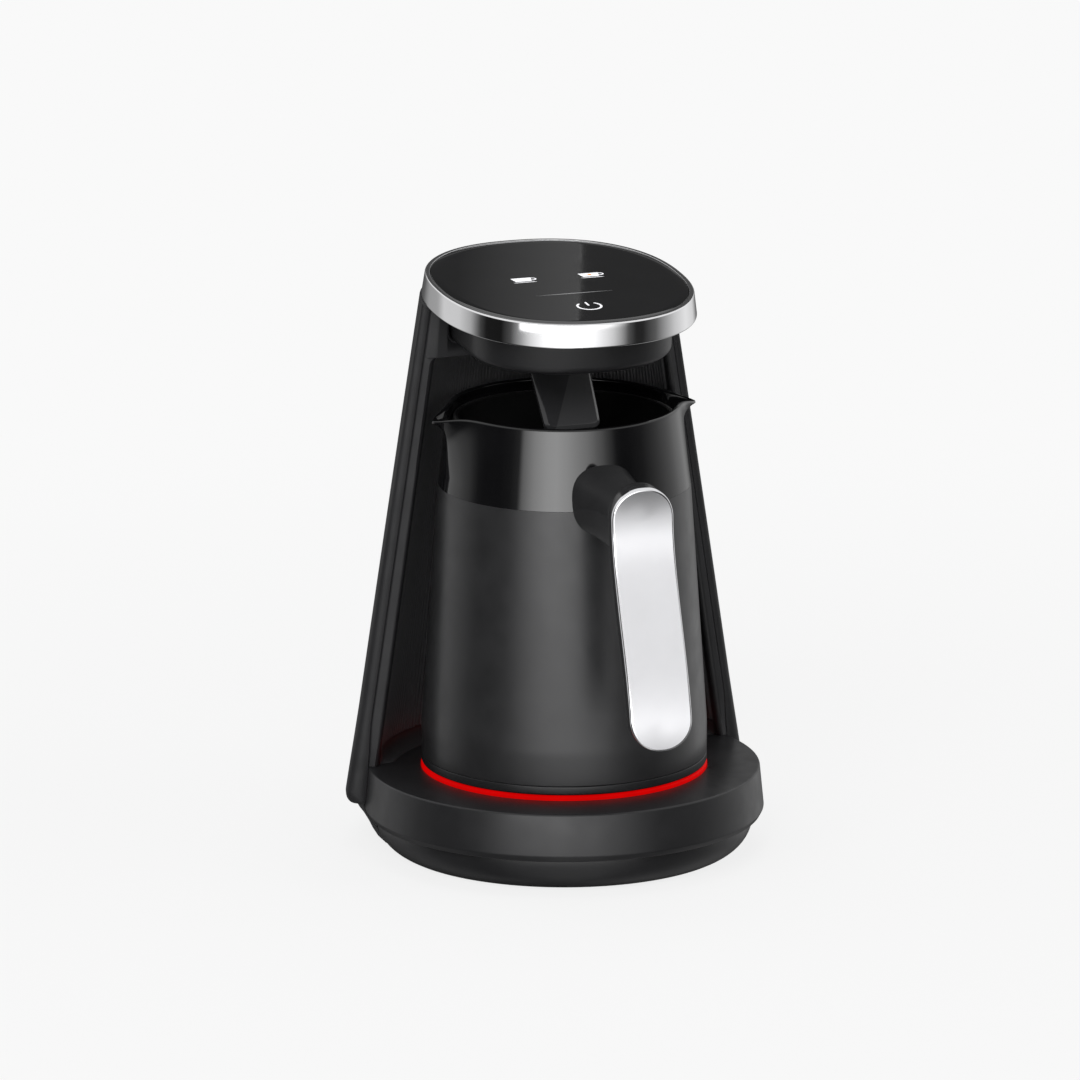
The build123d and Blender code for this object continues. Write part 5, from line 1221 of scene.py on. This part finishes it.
# ---------------------------------------------------------------- sensor flap
@dataclass
class SensorFlap:
    """Glossy nose that hangs from the cover into the pot's mouth."""

    pivot: tuple[float, float] = (17.5, 209.6)
    tip: tuple[float, float] = (-11.1, 173.4)
    half_top: float = 13.0
    half_tip: float = 11.5
    thickness: float = 3.4
    corner: float = 3.5
    corner_top: float = 0.6
    hub_r: float = 3.2

    def blade(self) -> Surface:
        """The blade: a flat slab with bevelled edges, bright along the bevel."""
        line = np.linspace(self.tip, self.pivot, 24)
        half = self.thickness / 2
        section = [(1.5, -half, 0.0), (1.35, -half + 0.03, 1.0), (0.25, -half + 0.85, 1.0),
                   (0.0, -half + 1.2, 0.5), (0.0, half - 0.5, 0.0), (0.15, half - 0.15, 0.0),
                   (0.5, half, 0.0)]
        return Slab(self.half_top, self.half_tip, self.corner_top, self.corner, line).rings(section)

    def hub(self) -> Surface:
        """The round hub on the pin, a short bar across."""
        profile = rounded([(0.0, -self.half_top), (self.hub_r, -self.half_top), (self.hub_r, self.half_top),
                           (0.0, self.half_top)], [0.0, 0.4, 0.4, 0.0], 4)
        turn = np.linspace(0, 2 * pi, 40, endpoint=False)
        y = self.pivot[0] + profile[:, :1] * np.cos(turn)
        z = self.pivot[1] + profile[:, :1] * np.sin(turn)
        return grid(np.dstack([np.broadcast_to(profile[:, 1:], y.shape), y, z]), around=True, along=True)

    def build(self) -> None:
        """Makes the nose."""
        nose = Piece("boil_sensor_nose", Finish.smoky_nose, Body.FLAP, "gloss_plastic_black",
                     ("sensor_flap",), 20)
        nose.make(joined([self.blade(), self.hub()]))


# ---------------------------------------------------------------- pot
@dataclass
class Pot:
    """The pot: satin sleeve, glossy collar with two pouring lips, dark vessel and foot ring."""

    seat_z: float = 35.4
    foot_h: float = 3.6
    foot_width: float = 10.0
    seam: float = 0.06
    foot_seam: float = 0.15
    low_r: float = 57.2
    low_z: float = 52.0
    collar_r: float = 50.5
    collar_z: float = 149.6
    rim_r: float = 45.9
    rim_z: float = 181.9
    rim_edge: float = 0.95
    wall: float = 2.3
    spout_reach: float = 11.4
    spout_width: float = 0.169
    spout_start: float = 155.0
    spout_drop: float = 3.3
    channel_start: float = 172.0
    liner_top: float = 177.0
    liner_floor: float = 54.0
    liner_low: float = 58.0
    liner_gap: float = 1.2
    liner_wall: float = 1.0
    liner_steps: int = 200

    def sleeve(self) -> Surface:
        """The sleeve: upright at the foot, then a straight taper, with a fine edge at both ends."""
        low = self.seat_z + self.foot_h + self.foot_seam
        inner_low, inner_top = self.low_r - self.wall, self.collar_r - self.wall
        corners = [(inner_low, low), (self.low_r, low), (self.low_r, self.low_z),
                   (self.collar_r, self.collar_z), (inner_top, self.collar_z), (inner_low, self.low_z)]
        return lathe(rounded(corners, [0.2, 0.25, 60.0, 0.1, 0.2, 40.0], 12))

    def foot_ring(self) -> Surface:
        """The ring the pot stands on."""
        low, high = self.seat_z, self.seat_z + self.foot_h
        outer, inner = self.low_r, self.low_r - self.foot_width
        corners = [(inner, low), (outer, low), (outer, high), (inner, high)]
        return lathe(rounded(corners, [0.3, 0.8, 0.3, 0.3]))

    def bulge(self, turn: Array) -> Array:
        """How far a place round the pot belongs to a lip: exp(-(distance to the nearer lip / width)^1.5)."""
        nearer = np.abs((turn + pi / 2) % pi - pi / 2)
        return np.exp(-(nearer / self.spout_width) ** 1.5)

    def outside(self, height: Number) -> Array:
        """Outside radius of the pot without its lips: upright at the foot, then one taper and another."""
        above = (height - self.collar_z) / (self.rim_z - self.collar_z)
        below = np.maximum(0.0, (height - self.low_z) / (self.collar_z - self.low_z))
        return np.where(height > self.collar_z, mixed(self.collar_r, self.rim_r, above),
                        mixed(self.low_r, self.collar_r, below))

    def collar(self) -> Surface:
        """The collar: a taper with a lip on each side, closed by a rounded rim.

        The outside grows by reach * (0.25 s * broad lip + 0.75 s^8 * lip), where s is the share of the height
        above the lip's start: a faint keel that ends in a short flare. The inside stays round up to the
        vessel's mouth and opens there into the lip's channel, with a thinner wall.
        """
        turn = np.linspace(0, 2 * pi, 2 * ROUND_STEPS, endpoint=False)[None]
        lip = self.bulge(turn)
        edge, top = self.rim_edge, self.rim_z - self.spout_drop * lip
        height = mixed(self.collar_z + self.seam, top - edge, np.linspace(0, 1, 34)[:, None])
        rise = np.clip((height - self.spout_start) / (top - self.spout_start), 0, 1)
        flare = 0.25 * rise * lip ** 0.6 + 0.75 * rise ** 8 * lip
        outside = self.outside(height) + self.spout_reach * flare
        down = height[::-1]
        opened = np.clip((down - self.channel_start) / (top - self.channel_start), 0, 1)
        wall = self.wall * (1 - 0.4 * lip * opened)
        inside = self.outside(down) - wall + self.spout_reach * lip * opened ** 0.9
        bend = np.linspace(0, pi, 9)[1:-1, None]
        middle, half = (outside[-1:] + inside[:1]) / 2, (outside[-1:] - inside[:1]) / 2
        rim_r = middle + half * np.cos(bend)
        rim_z = top - edge + edge * np.sin(bend)
        reach = np.concatenate([outside, rim_r, inside])
        level = np.concatenate([height, np.broadcast_to(rim_z, rim_r.shape), down])
        return grid(np.dstack([reach * np.cos(turn), reach * np.sin(turn), level]), around=True, along=True)

    def liner(self) -> Surface:
        """The vessel: follows sleeve and collar from inside, with a rounded floor and a turned mouth."""
        inset, thick = self.wall + self.liner_gap, self.liner_wall
        low, shoulder, top = (float(self.outside(z)) - inset
                              for z in (self.liner_low, self.collar_z, self.liner_top))
        floor = self.liner_floor
        corners = [(0.0, floor), (low, floor), (shoulder, self.collar_z), (top, self.liner_top),
                   (top - thick, self.liner_top), (shoulder - thick, self.collar_z),
                   (low - thick, floor + thick), (0.0, floor + thick)]
        radii = [0.0, 6.0, 30.0, 0.45, 0.45, 30.0, 5.0, 0.0]
        return lathe(rounded(corners, radii, 8), self.liner_steps)

    def build(self) -> None:
        """Makes the pieces of the pot."""
        pot, gloss = Body.POT, Finish.gloss_plastic_black
        sleeve = Piece("pot_outer_sleeve", Finish.satin_sleeve, pot, "satin_sleeve", ("pot_sleeve",))
        sleeve.make(self.sleeve())
        Piece("pot_foot", Finish.matt_base, pot, "matt_shell", ("foot_ring",)).make(self.foot_ring())
        Piece("pot_lipped_collar", gloss, pot, "gloss_plastic_black", ("pot_collar",), 40).make(self.collar())
        Piece("pot_vessel", Finish.vessel_coating, pot, "vessel_coating", ("pot_liner",)).make(self.liner())


# ---------------------------------------------------------------- handle
@dataclass
class Handle:
    """Handle: bright bent plate on a black grip, with a neck to the pot."""

    pot: Pot
    line_z: tuple[float, ...] = (
        68.6, 80.2, 87.7, 95.2, 109.9, 124.9, 132.2, 139.5, 147.2, 155.2, 162.4, 168.8)
    line_y: tuple[float, ...] = (
        -118.3, -117.2, -115.5, -113.2, -107.7, -102.6, -99.9, -97.3, -95.4, -94.8, -95.1, -96.0)
    half_w: float = 12.7
    thickness: float = 2.0
    corner: float = 12.2
    grip_thick: float = 9.0
    grip_margin: float = 0.9
    grip_round: float = 3.6
    neck_z: tuple[float, float] = (151.6, 153.6)
    neck_half: tuple[float, float] = (11.7, 14.2)
    neck_foot_half: tuple[float, float] = (13.4, 13.9)
    neck_waist: float = 0.06
    neck_power: float = 2.5
    neck_start: float = 3.0
    neck_overlap: float = 0.5

    def line(self, trim: float = 0.0) -> Array:
        """The plate's front line as a smooth curve: a polynomial of the fifth degree in the height."""
        z = np.linspace(self.line_z[0] + trim, self.line_z[-1] - trim, 90)
        middle = np.mean(self.line_z)
        curve = np.polynomial.Polynomial.fit(np.array(self.line_z) - middle, self.line_y, 5)
        return np.stack([curve(z - middle), z], -1)

    def plate(self) -> Surface:
        """The bright plate: flat front, polished rounded rim."""
        slab = Slab(self.half_w, self.half_w, self.corner, self.corner, self.line())
        section = [(0.95, 0.0, 0.0), (0.8, 0.0, 0.35), (0.65, 0.02, 1.0), (0.32, 0.17, 1.0), (0.08, 0.5, 1.0),
                   (0.0, 0.9, 1.0), (0.0, 1.8, 1.0), (0.15, self.thickness, 0.6), (0.6, self.thickness, 0.0)]
        return slab.rings(section)

    def grip(self) -> Surface:
        """The grip behind the plate, with a well-rounded back edge."""
        margin, front, bend = self.grip_margin, self.thickness, self.grip_round
        half, corner, deep = self.half_w - margin, self.corner - margin, front + self.grip_thick
        slab = Slab(half, half, corner, corner, self.line(margin))
        arc = [(bend * (1 - cos(a)), deep - bend + bend * sin(a), 0.0) for a in np.linspace(0, pi / 2, 8)]
        return slab.rings([(0.3, front + 0.02, 0.0), (0.0, front + 0.3, 0.0), (0.0, front + 3.0, 0.0)] + arc)

    def neck(self) -> Surface:
        """The neck: a rounded bar that widens to the pot and ends just inside its wall."""
        turn = np.linspace(0, 2 * pi, 96, endpoint=False)
        run = np.linspace(0, 1, 30)[:, None]
        curve = self.line()
        start_y = np.interp(self.neck_z[0], curve[:, 1], curve[:, 0]) + self.thickness + self.neck_start
        waist = 1 - self.neck_waist * np.sin(pi * run)
        wide, tall = (mixed(start, end, run ** 3) * waist
                      for start, end in zip(self.neck_half, self.neck_foot_half))
        x, up = oval(wide, tall, self.neck_power, turn[None])
        z = mixed(*self.neck_z, run) + up
        end_y = -np.sqrt(np.clip((self.pot.outside(z) - self.neck_overlap) ** 2 - x ** 2, 1.0, None))
        y = mixed(np.full(x.shape, start_y), end_y, run)
        points = np.dstack([x, y, z])
        caps = [points[row].mean(0)[None, None].repeat(points.shape[1], 1) for row in (0, -1)]
        return grid(np.concatenate([caps[0], points, caps[1]]), around=True)

    def build(self) -> None:
        """Makes the pieces of the handle."""
        plate = Piece("handle_bright_plate", Finish.bright_plate, Body.POT, "bright_plate",
                      ("handle_plate",), 30)
        plate.make(self.plate())
        grip = Piece("handle_grip_and_neck", Finish.soft_grip, Body.POT, "gloss_plastic_black",
                     ("handle_grip",), 40)
        grip.make(joined([self.grip(), self.neck()]))


# ---------------------------------------------------------------- nodes that keep their own mesh
@dataclass
class CarriedOver:
    """Nodes whose own mesh is right and only gets a finish."""

    own: dict[str, Finish] = field(
        default_factory=lambda: {"base_bowl": Finish.matt_base, "pot_seat": Finish.matt_base})

    def build(self) -> None:
        """Gives every node the finish of its slot."""
        slots = {part["node"]: part["material_slot"] for part in frame["record"]["subparts"]}
        for node, piece in frame["nodes"].items():
            finish = self.own.get(node, Finish[slots[node]])
            for place in piece.material_slots:
                place.material = dressed(finish)
            LOG.info("%s keeps its mesh, finish %s", node, finish.name)


# ---------------------------------------------------------------- studio
@dataclass
class Studio:
    """Pale floor, soft lamps, cards and the camera."""

    pale: float = 0.947
    azimuth: float = -18.92
    elevation: float = 14.26
    distance: float = 4.467
    lens: float = 373.03
    aim_z: float = 0.1255
    aside: float = -0.00966
    floor_r: float = 9.0
    floor_z: float = -0.0001
    floor_fade: tuple[float, float] = (0.2, 0.75)
    floor_tone: float = 0.8
    floor_even: float = 0.87
    lamp_aim: tuple[float, float, float] = (0.0, 0.0, 0.12)
    ambient: float = 0.5
    zenith: float = 0.9
    deep: float = 0.42
    overhead: tuple[float, float] = (0.14, 0.42)
    horizon: tuple[float, float] = (-0.46, -0.2)
    window_low: tuple[float, float] = (-0.05, 0.0)
    window_high: tuple[float, float] = (0.14, 0.3)
    surround: tuple[tuple[float, float], ...] = (
        (-180, 0.05), (-158, 0.12), (-146, 0.34), (-137, 0.38), (-130, 0.67), (-111, 0.66), (-97, 0.42),
        (-91, 0.2), (-86, 0.06), (-79, 0.012), (-62, 0.01), (-51, 0.075), (-40, 0.37), (-29.5, 0.78),
        (-19, 1.1), (-8, 1.4), (12, 1.6), (28, 1.3), (36, 0.95), (42.5, 0.5), (50, 0.09), (57, 0.02),
        (64, 0.02), (79, 0.11), (96, 0.42), (107, 0.63), (130, 0.88), (150, 0.72), (165, 0.2), (180, 0.05))
    window: tuple[tuple[float, float], ...] = (
        (-180, 0.0), (-43, 0.0), (-39, 1.9), (-28, 3.8), (-16, 5.0), (-7, 5.1), (3, 4.1), (12, 2.9),
        (22, 2.0), (31, 0.95), (41, 0.3), (52, 0.0), (180, 0.0))

    def world(self) -> None:
        """A pale surround, with a studio's lamps and dark gaps all round it where it shows in gloss.

        The level in gloss depends on the direction round the object. Round about, it follows a chain of
        levels by the angle from the front, positive to the right; a bright window stands in front above the
        horizon. It settles at a plain level towards the zenith and darkens below the horizon.
        """
        world = bpy.data.worlds.new("studio")
        bpy.context.scene.world = world
        world.use_nodes = True
        nodes = NodeTree(world.node_tree)
        ray = nodes.add("LightPath")
        right, back, up = nodes.add("SeparateXYZ", i0=nodes.add("TexCoord").outputs["Generated"]).outputs
        turn = nodes.math("ARCTAN2", right, nodes.math("MULTIPLY", back, -1.0))
        turn = nodes.math("WRAP", nodes.math("SUBTRACT", turn, radians(self.azimuth)), pi, -pi)
        share = nodes.value("MapRange", i0=turn, i1=-pi, i2=pi, i3=0.0, i4=1.0)

        def chain(levels: tuple[tuple[float, float], ...]) -> Socket:
            """The level at a direction, read from a chain of (degrees round, level)."""
            top = max(level for _, level in levels)
            ramp = nodes.add("ValToRGB", i0=share)
            stops = ramp.color_ramp.elements
            for degrees_round, _ in levels[1:-1]:
                stops.new(degrees_round / 360 + 0.5)
            for stop, (degrees_round, level) in zip(stops, levels):
                stop.position = degrees_round / 360 + 0.5
                stop.color = (level / top, level / top, level / top, 1)
            return nodes.math("MULTIPLY", ramp.outputs[0], top)

        def risen(sines: tuple[float, float], start: float = 0.0, end: float = 1.0) -> Socket:
            """A value that goes from start to end as the direction rises between two sines."""
            return nodes.value("MapRange", {"interpolation_type": "SMOOTHSTEP"}, i0=up, i1=sines[0],
                               i2=sines[1], i3=start, i4=end)

        window = nodes.math("MULTIPLY", chain(self.window), risen(self.window_low))
        window = nodes.math("MULTIPLY", window, risen(self.window_high, 1.0, 0.0))
        around = nodes.math("ADD", chain(self.surround), window)
        around = nodes.math("MULTIPLY", around, risen(self.horizon, self.deep))
        gloss = nodes.value("Mix", {"data_type": "FLOAT"}, i0=risen(self.overhead), i2=around, i3=self.zenith)
        seen = nodes.math("MAXIMUM", ray.outputs["Is Camera Ray"], ray.outputs["Is Transmission Ray"])
        level = nodes.value("MapRange", i0=seen, i1=0.0, i2=1.0, i3=self.ambient, i4=self.pale)
        both = nodes.value("Mix", {"data_type": "FLOAT"}, i0=ray.outputs["Is Glossy Ray"], i2=level, i3=gloss)
        nodes.add("OutputWorld", i0=nodes.value("Background", i0=(1, 1, 1, 1), i1=both))

    def floor(self) -> None:
        """A wide round floor: matt round the object, where its shadow falls, and evenly pale farther out."""
        turn = np.linspace(0, 2 * pi, 96, endpoint=False)
        radii = np.array([0.0, 0.2, 0.5, 1.0, 3.0, self.floor_r])[:, None]
        x, y = radii * np.cos(turn), radii * np.sin(turn)
        surface = grid(np.dstack([x, y, np.full(x.shape, self.floor_z)]), around=True)
        mesh = bpy.data.meshes.new("studio_floor")
        mesh.from_pydata(surface.points.tolist(), [], surface.faces.tolist())
        work = bmesh.new()
        work.from_mesh(mesh)
        bmesh.ops.remove_doubles(work, verts=work.verts, dist=1e-6)
        bmesh.ops.recalc_face_normals(work, faces=work.faces)
        if sum(face.normal.z for face in work.faces) < 0:
            bmesh.ops.reverse_faces(work, faces=work.faces)
        work.to_mesh(mesh)
        work.free()
        floor = in_scene("studio_floor", mesh)
        shade = Shade("pale_floor")
        reach = shade.add("VectorMath", {"operation": "LENGTH"}, i0=shade.place()).outputs["Value"]
        far = shade.value("MapRange", {"interpolation_type": "SMOOTHSTEP"}, i0=reach, i1=self.floor_fade[0],
                          i2=self.floor_fade[1], i3=0.0, i4=1.0)
        tone = self.floor_tone
        matt = shade.value("BsdfDiffuse", Color=(tone, tone, tone, 1))
        even = shade.value("Emission", Color=(1, 1, 1, 1), Strength=self.pale)
        near = shade.value("MixShader", i0=self.floor_even, i1=matt, i2=even)
        mesh.materials.append(shade.finish(shade.add("MixShader", i0=far, i1=near, i2=even)))
        floor.visible_glossy = False

    def card(self, name: str, centre: tuple[float, float, float], size: tuple[float, float],
             levels: tuple[float, float], fade: tuple[float, float]) -> None:
        """An upright card across the line of sight that shows only in reflections.

        Args:
            name: of the card.
            centre: in metres.
            size: width and height in metres.
            levels: the light at the start and at the end of the fade.
            fade: where the fade starts and ends, in metres from the card's middle to the right.
        """
        width, tall = size[0] / 2, size[1] / 2
        corners = np.array([(-width, 0, -tall), (width, 0, -tall), (width, 0, tall), (-width, 0, tall)])
        turn = -radians(self.azimuth)
        across = np.array([cos(turn), -sin(turn), 0.0])
        points = corners[:, :1] * across + corners[:, 2:] * np.array([0.0, 0.0, 1.0]) + np.array(centre)
        mesh = bpy.data.meshes.new(name)
        mesh.from_pydata(points.tolist(), [], [(0, 1, 2, 3)])
        card = in_scene(name, mesh)
        shade = Shade(name)
        aside = shade.add("VectorMath", {"operation": "DOT_PRODUCT"}, i0=shade.place(), i1=tuple(across))
        middle = float(np.dot(across, centre))
        level = shade.value("MapRange", i0=aside.outputs["Value"], i1=middle + fade[0], i2=middle + fade[1],
                            i3=levels[0], i4=levels[1])
        mesh.materials.append(shade.finish(shade.add("Emission", Color=(1, 1, 1, 1), Strength=level)))
        for kind in ("visible_camera", "visible_diffuse", "visible_shadow", "visible_transmission"):
            setattr(card, kind, False)

    def lamp(self, name: str, place: tuple[float, float, float], size: float, power_w: float) -> None:
        """A soft square lamp that looks at the object."""
        light = bpy.data.lights.new(name, "AREA")
        light.shape, light.size, light.energy = "SQUARE", size, power_w
        lamp = in_scene(name, light)
        lamp.location = place
        lamp.rotation_euler = (Vector(self.lamp_aim) - Vector(place)).to_track_quat("-Z", "Y").to_euler()
        lamp.visible_glossy = False

    def camera(self) -> None:
        """The camera: at azimuth 0 it looks along +y, and at a positive one it stands towards +x."""
        turn, rise = radians(self.azimuth), radians(self.elevation)
        back = Vector((sin(turn) * cos(rise), -cos(turn) * cos(rise), sin(rise)))
        right = Vector((cos(turn), sin(turn), 0.0))
        data = bpy.data.cameras.new("camera")
        data.lens, data.sensor_width = self.lens, 36.0
        data.clip_end = 60.0
        camera = in_scene("camera", data)
        camera.location = Vector((0, AXIS_Y * MM, self.aim_z)) + right * self.aside + back * self.distance
        camera.rotation_euler = (-back).to_track_quat("-Z", "Y").to_euler()
        bpy.context.scene.camera = camera

    def build(self) -> None:
        """Sets up the studio."""
        bpy.context.scene.view_settings.view_transform = "Standard"
        self.world()
        self.floor()
        self.lamp("key", (-1.0, -1.3, 1.3), 0.9, 16.0)
        self.lamp("fill", (1.5, -0.9, 0.9), 0.9, 7.0)
        self.lamp("top", (0.1, 0.3, 2.0), 1.4, 12.0)
        self.card("panel_card_left", (0.205, 1.003, 0.64), (0.3, 0.36), (0.075, 0.285), (0.09, 0.15))
        self.card("panel_card_right", (0.489, 0.905, 0.64), (0.3, 0.36), (0.078, 0.074), (-0.15, 0.15))
        self.camera()


def main() -> None:
    """Builds the machine piece by piece and reports each one."""
    logging.basicConfig(level=logging.INFO, format="%(name)s: %(message)s")
    base, head, pot = Base(), Head(), Pot()
    parts = [base, head, Column(head, base), SensorFlap(), pot, Handle(pot)]
    CarriedOver().build()
    for part in parts:
        part.build()
        LOG.info("%s done", type(part).__name__)
    Studio().build()


if __name__ == "__main__":
    main()
